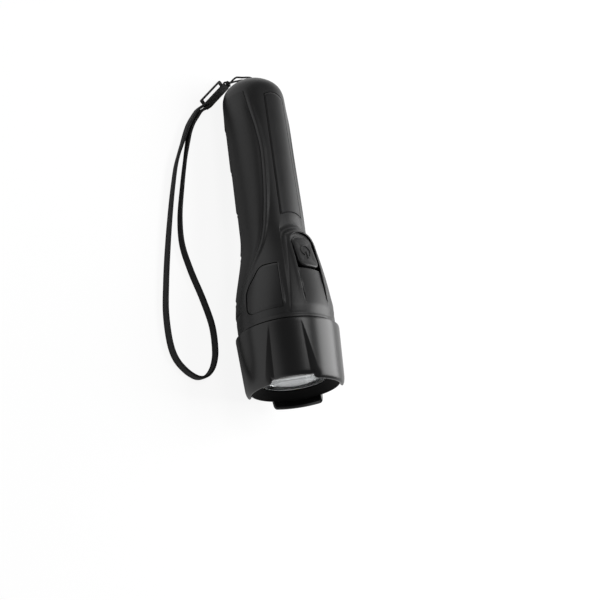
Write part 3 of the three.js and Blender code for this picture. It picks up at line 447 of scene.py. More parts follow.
def shell_blank():
    columns = spread([(0.0, 24), (24.5, 8), (31.0, 6), (37.0, 36), (62.0, 28), (102.0, 10), (180.0, 0)])
    around = [-c for c in columns[:0:-1]] + columns
    tail = [TAIL_STATION + TAIL_LENGTH * (i / 22) ** 2 for i in range(23)]
    skin = tail + spread([(TAIL_END, 26), (104.0, 96), (152.0, 20), (SEAM - COLLAR_EDGE[0], 0)])[1:]
    rows = [(TAIL_STATION, 0.0), *[(station, None) for station in skin]]
    spigot_end = SEAM + SPIGOT_LENGTH
    rows += [(SEAM, COLLAR_RADIUS - COLLAR_EDGE[1]), (SEAM, SPIGOT_RADIUS)]
    rows += [(SEAM + SPIGOT_LENGTH / 2, SPIGOT_RADIUS), (spigot_end, SPIGOT_RADIUS)]
    rows += [(spigot_end, NECK_RADIUS), (NECK_START, NECK_RADIUS)]
    rows += [(BORE_END, BORE_RADIUS), (BORE_START, BORE_RADIUS), (BORE_START, 0.0)]

    def at(column, row):
        station, radius = row
        if radius is None:
            return polar(station, shell_angle(column, station), shell_radius(column, station))
        return polar(station, column, radius)

    return grid(around, rows, at, wrap=True)


# Sleeve: finger grooves step down towards the tail and fade out before the front edges
GROOVE_PITCH = 26.5
GROOVES = [34 + GROOVE_PITCH * k for k in range(5)]
GROOVE_DEPTH = 0.9
GROOVE_ANGLE = 122.0
GROOVE_BEAD = (1.5, 1.2, 0.16)
GROOVE_CURL = (2.2, 13)
OVERRUN = 4.0


def sleeve_radius(station, angle, *_):
    base = body_radius(station)
    from_front = angle if angle <= 180 else 360 - angle
    arc = radians(from_front - sleeve_edge(station)) * base
    phase = ((station - GROOVES[0]) / GROOVE_PITCH) % 1.0
    inward = ease(arc, 0, 4.5)
    start = ease(station, *TAIL_FADE)
    reach = ease(from_front, GROOVE_ANGLE, GROOVE_ANGLE + 4)
    swell = mix(0.55, mix(0.15, 1, phase), ease(from_front, GROOVE_ANGLE - 8, GROOVE_ANGLE + 8))
    swell *= ease(station, SLEEVE, GROOVES[0]) if station < GROOVES[0] else 1.0
    radius = base + SLEEVE_RISE * swell * inward * (1 - ease(station, SLEEVE_END - 1.4, SLEEVE_END))
    radius -= start * SLEEVE_SINK * (1 - ease(arc, -0.3, 2.2))
    radius -= 0.5 * ease(station, SLEEVE_END - 1.0, SLEEVE_END)
    curl = GROOVE_CURL[0] * (1 - ease(from_front, GROOVE_ANGLE, GROOVE_ANGLE + GROOVE_CURL[1]))
    for middle in GROOVES:
        along = station - middle - curl
        radius += (bead(along, GROOVE_BEAD) - GROOVE_DEPTH * bump(along, 0.0, 1.0)) * reach
    return radius


def let_in(columns, rows, place, depth, margin, skin):
    """A slab let into the shell; with a margin, the larger solid that is cut out for it."""

    def outer(station, angle, column, row):
        return body_radius(station) + OVERRUN if margin else skin(station, angle, column, row)

    def inner(station, angle):
        return body_radius(station) - depth - margin

    return curved_slab(columns, rows, place, outer, inner)


def sleeve_solid(margin=0.0):
    columns, rows = spread([(0.0, 24), (0.12, 90), (0.88, 24), (1.0, 0)]), steps(0, 1, 300)
    if margin:
        columns, rows = steps(0, 1, 60), steps(0, 1, 44)

    def place(column, row):
        station = mix(SLEEVE, SLEEVE_END + margin, row)
        edge = sleeve_edge(station) - degrees(margin / body_radius(station))
        return station, mix(edge, 360 - edge, column)

    return let_in(columns, rows, place, SLEEVE_DEPTH, margin, sleeve_radius)


# Spine panel
PANEL = 20.5
PANEL_END = 98.5
PANEL_DEPTH = 1.6
PANEL_RISE = 0.25
PANEL_EDGE = 0.12
PANEL_ARCH = 2.2
PANEL_END_ARCH = 1.8
PANEL_HALF = (22.0, 25.0)


def panel_solid(margin=0.0):
    columns = [0.0, 0.015, 0.035, 0.06, *steps(0.1, 0.9, 22), 0.94, 0.965, 0.985, 1.0]
    rows = [0.0, 0.004, 0.01, *steps(0.03, 0.97, 60), 0.99, 0.996, 1.0]
    if margin:
        columns, rows = steps(0, 1, 12), steps(0, 1, 20)

    def place(column, row):
        across = 2 * column - 1
        first = PANEL + PANEL_ARCH * across * across - margin
        last = PANEL_END - PANEL_END_ARCH * (1 - across * across) + margin
        half = mix(*PANEL_HALF, row) + degrees(margin / HANDLE_RADIUS)
        return mix(first, last, row), across * half

    def skin(station, angle, column, row):
        rim = min(ease(min(column, 1 - column), 0, 0.06), ease(row, 0, 0.01), ease(1 - row, 0, 0.004))
        return body_radius(station) + mix(-PANEL_EDGE, PANEL_RISE, rim)

    return let_in(columns, rows, place, PANEL_DEPTH, margin, skin)


def side_panel_solid(side, margin=0.0):
    columns = [0.0, 0.01, 0.025, 0.045, *steps(0.08, 0.92, 24), 0.955, 0.975, 0.99, 1.0]
    rows = [0.0, 0.012, 0.03, *steps(0.06, 0.94, 40), 0.97, 0.988, 1.0]
    if margin:
        columns, rows = steps(0, 1, 8), steps(0, 1, 40)

    def place(column, row):
        station = mix(SIDE - margin, SIDE + SIDE_LENGTH + margin, row)
        turn = degrees(margin / body_radius(station))
        front = SIDE_FRONT - turn
        return station, side * mix(front, read_smooth(SIDE_BACK, row) + turn, column)

    def skin(station, angle, column, row):
        rim = min(ease(1 - column, 0, 0.045), ease(row, 0, 0.03), ease(1 - row, 0, 0.03))
        return body_radius(station) + mix(*SIDE_SKIN, rim)

    return let_in(columns, rows, place, SIDE_DEPTH, margin, skin)


def prism(points, axis, far):
    """A solid over a flat outline, drawn out along one axis."""
    bm = bmesh.new()
    face = bm.faces.new([bm.verts.new(point) for point in points])
    extrude(bm, [face], axis, far)
    return bm


def pocket_solid():
    centre = POCKET + POCKET_ARCH
    points = [(POCKET_HALF, POCKET_END, POCKET_FLOOR), (-POCKET_HALF, POCKET_END, POCKET_FLOOR)]
    for turn in steps(pi, tau, 20):
        points.append((POCKET_HALF * cos(turn), centre + POCKET_ARCH * sin(turn), POCKET_FLOOR))
    return prism(points, 2, CUT_TOP)


def slot_solid(side):
    low, high = SLOT_FLOOR
    profile = [(SLOT_START, low), (SLOT_END, high), (SLOT_END, CUT_TOP), (SLOT_START, CUT_TOP)]
    return prism([(side * TONGUE_HALF, *point) for point in profile], 0, side * POCKET_HALF)


def box_solid(half, start, end, low, high):
    """A box across the torch, with the gap round its sides."""
    half, start, end = half + GAP, start - GAP, end + GAP
    return prism([(-half, start, low), (half, start, low), (half, end, low), (-half, end, low)], 2, high)


SWITCH = (5.9, 114.7, 130.7)
SWITCH_CUT = (11, 21)
FOOT = (151.6, 158.0, 14.0, 24.7, 28.9)
TUNNEL_RING = 5.0
TUNNEL_RADIUS = 1.35
TUNNEL_STATION = 6.0


# Materials: each starts from what the real surface is
def linear(code):
    """sRGB hex to linear RGBA."""
    channels = [int(code[i : i + 2], 16) / 255 for i in (1, 3, 5)]
    return [c / 12.92 if c <= 0.04045 else ((c + 0.055) / 1.055) ** 2.4 for c in channels] + [1.0]


def node(tree, kind, links=(), **settings):
    """Adds a shader node, its properties and sockets by name, and its links: (socket, source, output)
    or (socket, value)."""
    made = tree.nodes.new("ShaderNode" + kind)
    for key, value in settings.items():
        name = key.replace("_", " ")
        socket = next((s for s in made.inputs if s.name.lower() == name.lower()), None)
        if hasattr(made, key):
            setattr(made, key, value)
        elif socket is not None:
            socket.default_value = value
    for socket, source, *output in links:
        if output:
            tree.links.new(source.outputs[output[0]], made.inputs[socket])
        else:
            made.inputs[socket].default_value = source
    return made


# Depth of the grain and of the threads, in mm, and the bands that a wave texture of scale 1 has in one unit
GRAIN_DEPTH = 0.05
THREAD_DEPTH = 0.12
WAVES_PER_UNIT = 3.18


def new_material(name, **sockets):
    """A material with its node tree and its shader, some of whose inputs are given by name."""
    material = bpy.data.materials.new(name)
    material.use_nodes = True
    tree = material.node_tree
    shader = tree.nodes["Principled BSDF"]
    for socket, value in sockets.items():
        shader.inputs[socket.replace("_", " ")].default_value = value
    return material, tree, shader


def add_noise(tree, size_mm, **settings):
    place = node(tree, "TexCoord")
    return node(tree, "TexNoise", [("Vector", place, "Object")], Scale=1 / (size_mm * MM), **settings)


def add_gloss(tree, shader, noise, low, high):
    gloss = node(tree, "MapRange", [("Value", noise, "Fac")], To_Min=low, To_Max=high)
    tree.links.new(gloss.outputs["Result"], shader.inputs["Roughness"])


def add_tint(tree, shader, source, output, colours):
    light, dark = map(linear, colours)
    tint = node(tree, "Mix", [("Factor", source, output), (6, dark), (7, light)], data_type="RGBA")
    tree.links.new(tint.outputs[2], shader.inputs["Base Color"])


def add_relief(tree, shader, source, output, strength, depth_mm):
    relief = node(tree, "Bump", [("Height", source, output)], Strength=strength, Distance=depth_mm * MM)
    tree.links.new(relief.outputs["Normal"], shader.inputs["Normal"])


def surface(name, colours, roughness, sizes_mm, grain, IOR=1.5, **sockets):
    """A moulded or cast surface: slow mottling of colour and gloss, and a fine grain in the bump."""
    material, tree, shader = new_material(name, IOR=IOR, **sockets)
    slow = add_noise(tree, sizes_mm[0], Detail=4.0, Roughness=0.6)
    add_tint(tree, shader, slow, "Fac", colours)
    add_gloss(tree, shader, slow, *roughness)
    add_relief(tree, shader, add_noise(tree, sizes_mm[1], Detail=2.0), "Fac", grain, GRAIN_DEPTH)
    return material


def woven(name, colours, thread_mm):
    """Woven or braided nylon: threads crossing on the piece's own UV map, u along and v across, in mm; the
    low gaps between threads are painted darker as shade.
    """
    material, tree, shader = new_material(name, IOR=1.53, Roughness=0.62, Specular_IOR_Level=0.3)
    uv = node(tree, "UVMap", uv_map="UVMap")
    turned = node(tree, "Mapping", [("Vector", uv, "UV")], Rotation=(0, 0, radians(45)))
    scale = 1 / thread_mm / WAVES_PER_UNIT
    crossing = node(tree, "Math", operation="MAXIMUM")
    for i, direction in enumerate("XY"):
        settings = {"bands_direction": direction, "Scale": scale, "Distortion": 0.35, "Detail": 1.0}
        wave = node(tree, "TexWave", [("Vector", turned, "Vector")], wave_type="BANDS", **settings)
        tree.links.new(wave.outputs["Fac"], crossing.inputs[i])
    # Painted shade: where the bump sinks between the threads, the darker colour is used
    add_tint(tree, shader, crossing, "Value", colours)
    add_relief(tree, shader, crossing, "Value", 0.7, THREAD_DEPTH)
    return material


# Of each surface: its lighter and darker colour, its roughness, the size of mottling and grain in mm, and
# the strength of the grain
# Moulded ABS with a satin spark finish: broad soft highlights, no sparkle
SHELL_ABS = surface("satin_abs", ("#141415", "#0f0f10"), (0.36, 0.44), (9, 0.35), 0.25)
# The inlays have a slightly glossier tool finish than the shell round them
PANEL_ABS = surface("panel_abs", ("#1b1b1c", "#161617"), (0.32, 0.38), (12, 0.3), 0.15)
# Overmoulded elastomer: matt, with a faint bloom where it is handled
SOFT_RUBBER = surface("soft_elastomer", ("#141415", "#0e0e0f"), (0.46, 0.55), (16, 0.4), 0.35)
BUTTON_RUBBER = surface("button_elastomer", ("#1c1c1d", "#161617"), (0.38, 0.46), (5, 0.25), 0.2)
# Polished-tool ABS on the head: the glossiest of the black parts
HEAD_ABS = surface("semi_gloss_abs", ("#101011", "#0c0c0d"), (0.26, 0.32), (18, 0.6), 0.06)
# Inside the bezel the tool is spark-eroded, so that no light glares there
CONE_FINISH = {"Specular_IOR_Level": 0.08}
CONE_ABS = surface("matt_cone_abs", ("#09090a", "#060606"), (0.6, 0.7), (8, 0.3), 0.3, **CONE_FINISH)
# Vacuum-metallised bowl: mirror-like, with the faint orange peel of the lacquer under it
METALLISED = surface("metallised_bowl", ("#e6e7e8", "#dadbdc"), (0.05, 0.10), (6, 2.2), 0.5, Metallic=1.0)
# What is seen only when the torch is opened, and the clasp
INNER_ABS = surface("inner_abs", ("#2c2c2e", "#242426"), (0.45, 0.55), (10, 0.5), 0.2)
WHITE_ACETAL = surface("white_acetal", ("#e9e8e2", "#dddcd5"), (0.30, 0.38), (5, 0.4), 0.1, IOR=1.48)
WHITE_SILICONE = surface("white_silicone", ("#e2e2de", "#d6d6d2"), (0.42, 0.5), (4, 0.4), 0.15, IOR=1.41)
WHITE_BOARD = surface("solder_mask", ("#ecece6", "#dededa"), (0.25, 0.35), (4, 0.3), 0.15)
PHOSPHOR = surface("phosphor_dome", ("#e8cf4e", "#dcb93a"), (0.12, 0.2), (2, 0.3), 0.1, Coat_Weight=0.8)
CELL_JACKET = surface("cell_jacket", ("#71808c", "#63727e"), (0.28, 0.36), (12, 0.8), 0.05)
SPRING_STEEL = surface("nickel_steel", ("#b4b5b6", "#a2a3a5"), (0.22, 0.30), (3, 0.3), 0.15, Metallic=1.0)
BRASS = surface("rolled_brass", ("#c9a24f", "#b58f42"), (0.24, 0.34), (4, 0.4), 0.12, Metallic=1.0)
ALUMINIUM = surface("cast_aluminium", ("#b9bbbd", "#a5a7aa"), (0.32, 0.42), (5, 0.5), 0.3, Metallic=1.0)
CLASP_ACETAL = surface("clasp_acetal", ("#131314", "#0e0e0f"), (0.28, 0.36), (5, 0.4), 0.12, IOR=1.48)
# Woven ribbon and braided cord: the threads are drawn a little coarser than real ones, so that they show
# The darker colour of each pair is painted shade in the gaps between the threads
WEBBING = woven("nylon_webbing", ("#151516", "#040404"), 0.5)
CORD_BRAID = woven("nylon_braid", ("#1a1a1b", "#050505"), 0.34)


def clear_polycarbonate():
    """Clear moulded lens: clean, so that the bowl behind it shows at its full brightness."""
    material, tree, shader = new_material("clear_polycarbonate", Transmission_Weight=1.0, IOR=1.45)
    shader.inputs["Base Color"].default_value = linear("#fbfcfc")
    add_gloss(tree, shader, add_noise(tree, 7, Detail=3.0), 0.0, 0.03)
    return material


LENS_CLEAR = clear_polycarbonate()


# Lanyard routes, in millimetres in the part's frame
CORD_ROUTE = [
    (-5.45, 101.15, 4.85), (-6.2, 99.9, 7.4), (-6.6, 99, 10.2), (-6.5, 98.2, 13), (-5.9, 97.7, 15.5),
    (-5.2, 97.3, 16.9), (-5, 96.4, 17.2), (-5, 94.8, 17.3), (-4.33, 92.3, 17.5), (-2.5, 90.47, 17.65),
    (0, 89.8, 17.7), (2.5, 90.47, 17.65), (4.33, 92.3, 17.5), (5, 94.8, 17.3), (5, 96.6, 17.2),
    (4.7, 98.5, 17.2), (3, 100, 17.3), (0, 100.3, 17.5), (-3, 99.6, 17.5), (-5.6, 98.9, 17.1),
    (-7, 99.4, 15.4), (-6.6, 100.7, 12.9), (-5.7, 101.6, 10.2), (-4.8, 102.1, 7.4),
    (-4.3, 102.05, 4.85),
]
STRAP_ROUTE = [
    (-23.45, 82.42, 3.5), (-26.7, 80.2, 3.5), (-30, 77.3, 3.5), (-33.6, 72.3, 3.5), (-36.7, 67.2, 3.4),
    (-39, 62, 3), (-42.1, 53.6, 2.6), (-45.3, 45.4, 2.5), (-47.7, 38.1, 2.5), (-50.2, 26.7, 2.5),
    (-52.3, 15.6, 2.5), (-56, -7.8, 2.5), (-59, -32.1, 2.5), (-60.2, -50, 2.5), (-58.2, -67.2, 2.5),
    (-55.2, -73.9, 2.5), (-50.7, -78.3, 2.5), (-46, -81.1, 2.5), (-41.2, -82.3, 2.5), (-36, -80.7, 2.5),
    (-32, -76.5, 2.5), (-29.5, -70.1, 2.5), (-28.9, -63.9, 2.5), (-29.9, -52.3, 2.5),
    (-34.9, -38.2, 2.5), (-42.1, -22.4, 2.5), (-46.7, -8.4, 2.5), (-47.1, 6.6, 2.5), (-44.2, 26.2, 2.5),
    (-40.9, 43.4, 2.5), (-38.5, 54, 2.6), (-36.9, 61.1, 3), (-34.93, 66.35, 3.4), (-31.9, 71.2, 3.5),
    (-28.58, 76.04, 3.5), (-25.3, 78.94, 3.5), (-22.05, 81.13, 3.5),
]


def between_knots(a, start, b, end, t):
    return a * ((end - t) / (end - start)) + b * ((t - start) / (end - start))


def smooth_route(points, spacing):
    """Centripetal Catmull-Rom curve through the points, sampled evenly."""
    knots = [Vector(p) for p in points]
    knots = [knots[0] * 2 - knots[1], *knots, knots[-1] * 2 - knots[-2]]
    dense = []
    for four in zip(knots, knots[1:], knots[2:], knots[3:]):
        times = [0.0]
        for a, b in zip(four, four[1:]):
            times.append(times[-1] + sqrt((b - a).length))
        for k in range(16):
            t = mix(times[1], times[2], k / 16)
            a = [between_knots(four[i], times[i], four[i + 1], times[i + 1], t) for i in range(3)]
            b = [between_knots(a[i], times[i], a[i + 1], times[i + 2], t) for i in range(2)]
            dense.append(between_knots(b[0], times[1], b[1], times[2], t))
    dense.append(knots[-2])
    lengths = [0.0]
    for a, b in zip(dense, dense[1:]):
        lengths.append(lengths[-1] + (b - a).length)
    count = max(2, round(lengths[-1] / spacing))
    even, i = [], 0
    for k in range(count + 1):
        target = lengths[-1] * k / count
        while i < len(lengths) - 2 and lengths[i + 1] < target:
            i += 1
        even.append(dense[i].lerp(dense[i + 1], (target - lengths[i]) / (lengths[i + 1] - lengths[i])))
    return even, lengths[-1]


def swept(points, length, section, around, lean=((0, 0), (1, 0))):
    """A tube along a route; section(turn) gives (across, up), and a table of degrees tips it."""
    count = len(points) - 1
    frames = []
    for i, point in enumerate(points):
        ahead = (points[min(i + 1, count)] - points[max(i - 1, 0)]).normalized()
        up = Vector((0, 0, 1))
        side = ahead.cross(up)
        if side.length < 0.3:
            side = frames[-1][1] if frames else Vector((1, 0, 0))
            side = side - ahead * side.dot(ahead)
        elif frames and side.dot(frames[-1][1]) < 0 and side.length < 0.6:
            side = -side
        side.normalize()
        frames.append((point, side, side.cross(ahead).normalized()))

    def at(column, row):
        i = int(clamp(row, 0, count))
        point, side, up = frames[i]
        if row != i:
            return point.copy()
        x, z = section(column / around * tau)
        tip = radians(read_table(lean, i / count))
        x, z = x * cos(tip) - z * sin(tip), x * sin(tip) + z * cos(tip)
        return point + side * x + up * z

    def uv(column, row):
        return (clamp(row, 0, count) / count * length, column / around * 12.0)

    return grid(range(around + 1), range(-1, count + 2), at, wrap=True, uv=uv)


def signed_power(value, power):
    return copysign(abs(value) ** power, value)


def oval_section(half_thickness, half_width, power=5.0):
    """A cord's section: an ellipse at power 2, and nearly a rectangle at higher powers."""

    def at(turn):
        c, s = cos(turn), sin(turn)
        return half_thickness * signed_power(c, 2 / power), half_width * signed_power(s, 2 / power)

    return at


CORD_RADIUS = 0.55
STRAP_WIDTH = 4.6
STRAP_THICKNESS = 1.6
STRAP_LEAN = [
    (0.0, 0), (0.06, 0), (0.12, -20), (0.3, -5), (0.44, -3), (0.5, 0), (0.56, 2), (0.7, 6), (0.88, 20),
    (0.94, 0), (1.0, 0),
]

# Clasp: a frame of two bars with an eye, the strap's ends sewn round the thick bar
CLASP_FOOT = Vector((-22.2, 82.0, 0.0))
CLASP_TURN = radians(-41.5)
CLASP_LENGTH = 24.0
CLASP_OUTER = (-5.025, 2.075)
CLASP_SLOT = (-3.825, -2.075)
CLASP_END_BAR = 2.2
CLASP_PLATE = (0.2, 1.6)
WRAP = (4.2, 3.8)
EYE = (26.2, 2.3, 1.25)
KNOT = (1.8, 2.0, 2.7)
CLASP = WORLD @ Matrix.Translation(CLASP_FOOT) @ Matrix.Rotation(CLASP_TURN, 4, "Z")


def clasp_frame():
    def edge(turn, span, inset, corner):
        """A point on a rounded rectangle that spans the clasp's width between two lines."""
        u, v = cos(turn), sin(turn)
        reach = max(abs(u), abs(v))
        half = (span[1] - span[0]) / 2
        x, y = squared(u / reach, v / reach, half, CLASP_LENGTH / 2 - inset, corner)
        return Vector((x + (span[0] + span[1]) / 2, y + CLASP_LENGTH / 2, 0))

    low, high = CLASP_PLATE

    def at(turn, around):
        outer, inner = edge(turn, CLASP_OUTER, 0.0, 0.9), edge(turn, CLASP_SLOT, CLASP_END_BAR, 0.5)
        spot = (outer + inner) / 2 + (outer - inner) / 2 * signed_power(cos(around), 0.5)
        spot.z = mix(low, high, 0.5 + 0.5 * signed_power(sin(around), 0.5))
        return spot

    corners = {atan2(s * y, x) % tau for x in (-1, 1) for y in (0.3, 1, 3.3) for s in (-1, 1)}
    turns = sorted({*steps(0, tau, 200), *corners})
    return grid(turns, steps(0, tau, 20), at, wrap=True)


def torus(major, minor, height, middle, sides=40, section=16):
    def at(turn, around):
        reach = major + minor * cos(around)
        rise = height / 2 * sin(around)
        return Vector((reach * cos(turn), reach * sin(turn), rise)) + middle

    return grid(steps(0, tau, sides), steps(0, tau, section), at, wrap=True)


def knot_ball():
    """An overhand knot drawn tight: a ball with two crossing turns of cord."""
    radius, low, high = KNOT

    def at(turn, tilt):
        wraps = 0.14 * cos(3 * turn + 4 * tilt) + 0.1 * cos(2 * turn - 5 * tilt)
        reach = radius * (1 + wraps * cos(tilt)) * 0.94
        height = (high - low) / 2 + 1.35 + 1.25 * sin(tilt) * (1 + 0.4 * wraps)
        reach *= cos(tilt)
        return (reach * cos(turn), reach * sin(turn), height)

    def uv(turn, tilt):
        return (turn * radius, tilt * radius)

    bm = grid(steps(0, tau, 56), steps(-pi / 2, pi / 2, 28), at, wrap=True, uv=uv)
    bmesh.ops.translate(bm, vec=(0, EYE[0], low - 0.9), verts=bm.verts)
    return bm


def clasp_piece(name, bm, material, node_name=None):
    return finish_mesh(name, bm, material, node_name, CLASP)


def clasp_pieces():
    low, high = CLASP_PLATE
    frame_piece = clasp_piece("clasp_frame", clasp_frame(), CLASP_ACETAL, "lanyard_clasp")
    middle = Vector((0, EYE[0], (low + high) / 2))
    ring = torus((EYE[1] + EYE[2]) / 2, (EYE[1] - EYE[2]) / 2, high - low, middle)
    eye = clasp_piece("clasp_eye", ring, CLASP_ACETAL)
    width, height = WRAP
    line = [Vector((0, station, low + height / 2)) for station in steps(1.4, CLASP_LENGTH - 1.2, 40)]
    bm = swept(line, CLASP_LENGTH, oval_section(width / 2, height / 2, 7.0), 40)
    wrap = clasp_piece("clasp_wrap", bm, WEBBING)
    knot = clasp_piece("tight_knot", knot_ball(), CORD_BRAID, "lanyard_knot")
    return [frame_piece, eye, wrap, knot]


def lanyard():
    cord_points, cord_length = smooth_route(CORD_ROUTE, 0.45)
    bm = swept(cord_points, cord_length, oval_section(CORD_RADIUS, CORD_RADIUS, 2.0), 12)
    cord = finish_mesh("lanyard_braid", bm, CORD_BRAID, "lanyard_cord", WORLD)
    strap_points, strap_length = smooth_route(STRAP_ROUTE, 1.1)
    section = oval_section(STRAP_THICKNESS / 2, STRAP_WIDTH / 2)
    bm = swept(strap_points, strap_length, section, 28, STRAP_LEAN)
    strap = finish_mesh("lanyard_ribbon", bm, WEBBING, "lanyard_strap", WORLD)
    clasp_pieces()


lanyard()


def body_pieces():
    foot_start, foot_end, foot_width, foot_top, _ = FOOT
    inner, outer, first, last = SEAL_GROOVE
    cutters = [
        sleeve_solid(GAP),
        panel_solid(GAP),
        side_panel_solid(1, GAP),
        side_panel_solid(-1, GAP),
        box_solid(foot_width / 2, foot_start, foot_end, -CUT_TOP, -foot_top + GAP),
        lathe([(inner, first), (outer, first), (outer, last), (inner, last)]),
        torus(TUNNEL_RING, TUNNEL_RADIUS, 2 * TUNNEL_RADIUS, Vector((0, TUNNEL_STATION, 0)), 48, 20),
        pocket_solid(),
        slot_solid(1),
        slot_solid(-1),
        box_solid(*SWITCH, *SWITCH_CUT),
    ]
    finish_mesh("torch_shell", cut(shell_blank(), cutters), SHELL_ABS, "body_shell")
    finish_mesh("rubber_sleeve", sleeve_solid(), SOFT_RUBBER, "grip_sleeve")
    finish_mesh("spine_inlay", panel_solid(), PANEL_ABS, "spine_panel")
    for name, side in (("side_panel_left", 1), ("side_panel_right", -1)):
        finish_mesh(f"{name}_inlay", side_panel_solid(side), PANEL_ABS, name)


body_pieces()


# Foot: the pitch and height of its ribs, and the rounding of its edges
RIB = (2.0, 0.45)
RIB_MARGIN = 0.7
FOOT_EDGE = (0.9, 0.7)


def foot_piece():
    """Ribbed rubber block; its underside stays in the floor's plane."""
    start, end, width, top, reach = FOOT
    slope = tan(asin(AXIS.z))
    middle = (start + end) / 2

    def at(x, share, side):
        station = mix(start, end, share)
        if side > 0:
            return (x, station, -top)
        edge = min(width / 2 - abs(x), station - start, end - station)
        rib = RIB[1] * (0.5 - 0.5 * cos(x / RIB[0] * tau)) if edge > RIB_MARGIN else 0
        drop = FOOT_EDGE[1] * (1 - ease(edge, 0, FOOT_EDGE[0]))
        return (x, station, rib + drop - reach - (station - middle) * slope)

    bm = two_layers(steps(-width / 2, width / 2, 112), steps(0, 1, 24), at)
    finish_mesh("ribbed_foot", bm, SOFT_RUBBER, "anti_roll_foot")


foot_piece()


# Button: a raked soft pad with a power mark, which is an open ring and a bar
BUTTON = 113.6
BUTTON_LENGTH = 18.8
BUTTON_HALF = 6.8
BUTTON_CORNER = 4.0
BUTTON_BOTTOM = 21.3
BUTTON_HEIGHT = 2.75
BUTTON_LEAST = 0.15
BUTTON_RAKE = 0.235
BUTTON_EDGE = (0.13, 0.9)
BUTTON_DISH = 0.35
MARK = BUTTON + 8.6
MARK_RADIUS = 3.2
MARK_LINE = (0.34, 0.5)
MARK_GAP = (24, 34)
MARK_BAR = (2.6, 1.9)
MARK_RISE = 0.5


def mark_height(x, station):
    along = station - MARK
    ring = 1 - ease(abs(hypot(x, along) - MARK_RADIUS), *MARK_LINE)
    opening = ease(abs(degrees(atan2(x, along))), *MARK_GAP)
    bar_away = hypot(x, max(0.0, abs(along - MARK_BAR[0]) - MARK_BAR[1]))
    return MARK_RISE * max(ring * opening, 1 - ease(bar_away, *MARK_LINE))


def button_piece():
    half_length = BUTTON_LENGTH / 2

    def at(u, v, side):
        x, y = squared(u, v, BUTTON_HALF, half_length, BUTTON_CORNER)
        station = BUTTON + half_length + y
        if side < 0:
            return (x, station, BUTTON_BOTTOM)
        out = max(abs(u), abs(v))
        drop = BUTTON_EDGE[1] * quarter(1 - clamp((1 - out) / BUTTON_EDGE[0]))
        dish = BUTTON_DISH * (1 - ease(out, 0.35, 0.85))
        crown = x * x / (2 * boss_radius(station))
        height = BUTTON_HEIGHT + y * BUTTON_RAKE - crown - drop - dish + mark_height(x, station)
        return (x, station, BUTTON_BOTTOM + max(height, BUTTON_LEAST))

    bm = two_layers(steps(-1, 1, 150), steps(-1, 1, 150), at)
    finish_mesh("soft_button", bm, BUTTON_RUBBER, "button", body="button")


button_piece()


# Head: a tapered barrel, with a recessed panel between each two of its three lugs
LUGS = {105: 2.4, 225: 4.2, 345: 2.4}
RECESSES = (45, 165, 285)
LUG_HALF = 33.0
LUG_TOP = 24.9
LUG_SINK = 0.55
RIM_ROUND = (2.4, 1.9)
MOUTH = 23.4
LIP = 18.4
LIP_STATION = 187.9
LIP_THICK = 0.5
ARC = [sin(radians(turn)) for turn in range(0, 91, 6)]
LUG_END = 0.07
LUG_ROUND = 2.2
BARREL = 20.9
THREAD = 24.85
THREAD_END = SEAM + 11.2
HEAD_START = SEAM + 0.35
RECESS = 1.7
RECESS_START = SEAM + 2.2
RECESS_HALF = (18.0, 33.0)
RECESS_SLOPE = (0.7, 10.5)
SEAM_ROUND = [(0, 1.4), (0.14, 0.9), (0.34, 0.4), (0.6, 0.1)]
MOUTH_EDGE = 0.3
RIM_WALL = 0.45
LENS = (184.7, 186.6, 187.85)
LENS_RADIUS = 20.5
LENS_STEP = 18.2


def off(angle, middles):
    """Degrees from an angle to the nearest of some middles."""
    return min(abs((angle - middle + 180) % 360 - 180) for middle in middles)


def head_skin(station, angle):
    """The barrel tapers, and its recessed panels widen towards the bezel between sloping triangles."""
    share = clamp((station - RECESS_START) / (BEZEL - RECESS_START))
    slope = clamp((mix(*RECESS_HALF, share) - off(angle, RECESSES)) / mix(*RECESS_SLOPE, share))
    return mix(HEAD_RADIUS, BEZEL_RADIUS, (station - SEAM) / (BEZEL - SEAM)) - RECESS * share * slope


def rim_radius(share, angle):
    """The rounded front rim, up to the bezel; in a recessed panel the wall leaves less to round."""
    length, depth = RIM_ROUND
    depth = min(depth, head_skin(BEZEL, angle) - MOUTH - RIM_WALL)
    return head_skin(BEZEL - length * (1 - share), angle) - depth * quarter(share)


def head_solid():
    columns = steps(0, 360, 720)
    length = RIM_ROUND[0]
    rows = [("skin", HEAD_START + run, inset) for run, inset in SEAM_ROUND]
    rows += [("skin", station, 0.0) for station in steps(SEAM + 1.6, BEZEL - length, 38)]
    rows += [("rim", BEZEL - length * (1 - share), share) for share in ARC[1:]]
    mouth = BEZEL - MOUTH_EDGE
    inside = [(BEZEL, MOUTH + MOUTH_EDGE), (mouth, MOUTH)]
    inside += [(mix(mouth, LIP_STATION + LIP_THICK, k / 4), mix(MOUTH, LIP, k / 4)) for k in (1, 2, 3, 4)]
    inside += [(LIP_STATION, LIP), (LIP_STATION, BARREL), (THREAD_END, BARREL)]
    inside += [(THREAD_END, THREAD), (HEAD_START, THREAD)]
    rows += [("plain", *point) for point in inside] + [("skin", HEAD_START, SEAM_ROUND[0][1])]

    def at(column, row):
        if row[0] == "plain":
            return polar(row[1], column, row[2])
        if row[0] == "rim":
            return polar(row[1], column, rim_radius(row[2], column))
        return polar(row[1], column, head_skin(row[1], column) - row[2])

    return grid(columns, rows, at, wrap=True)


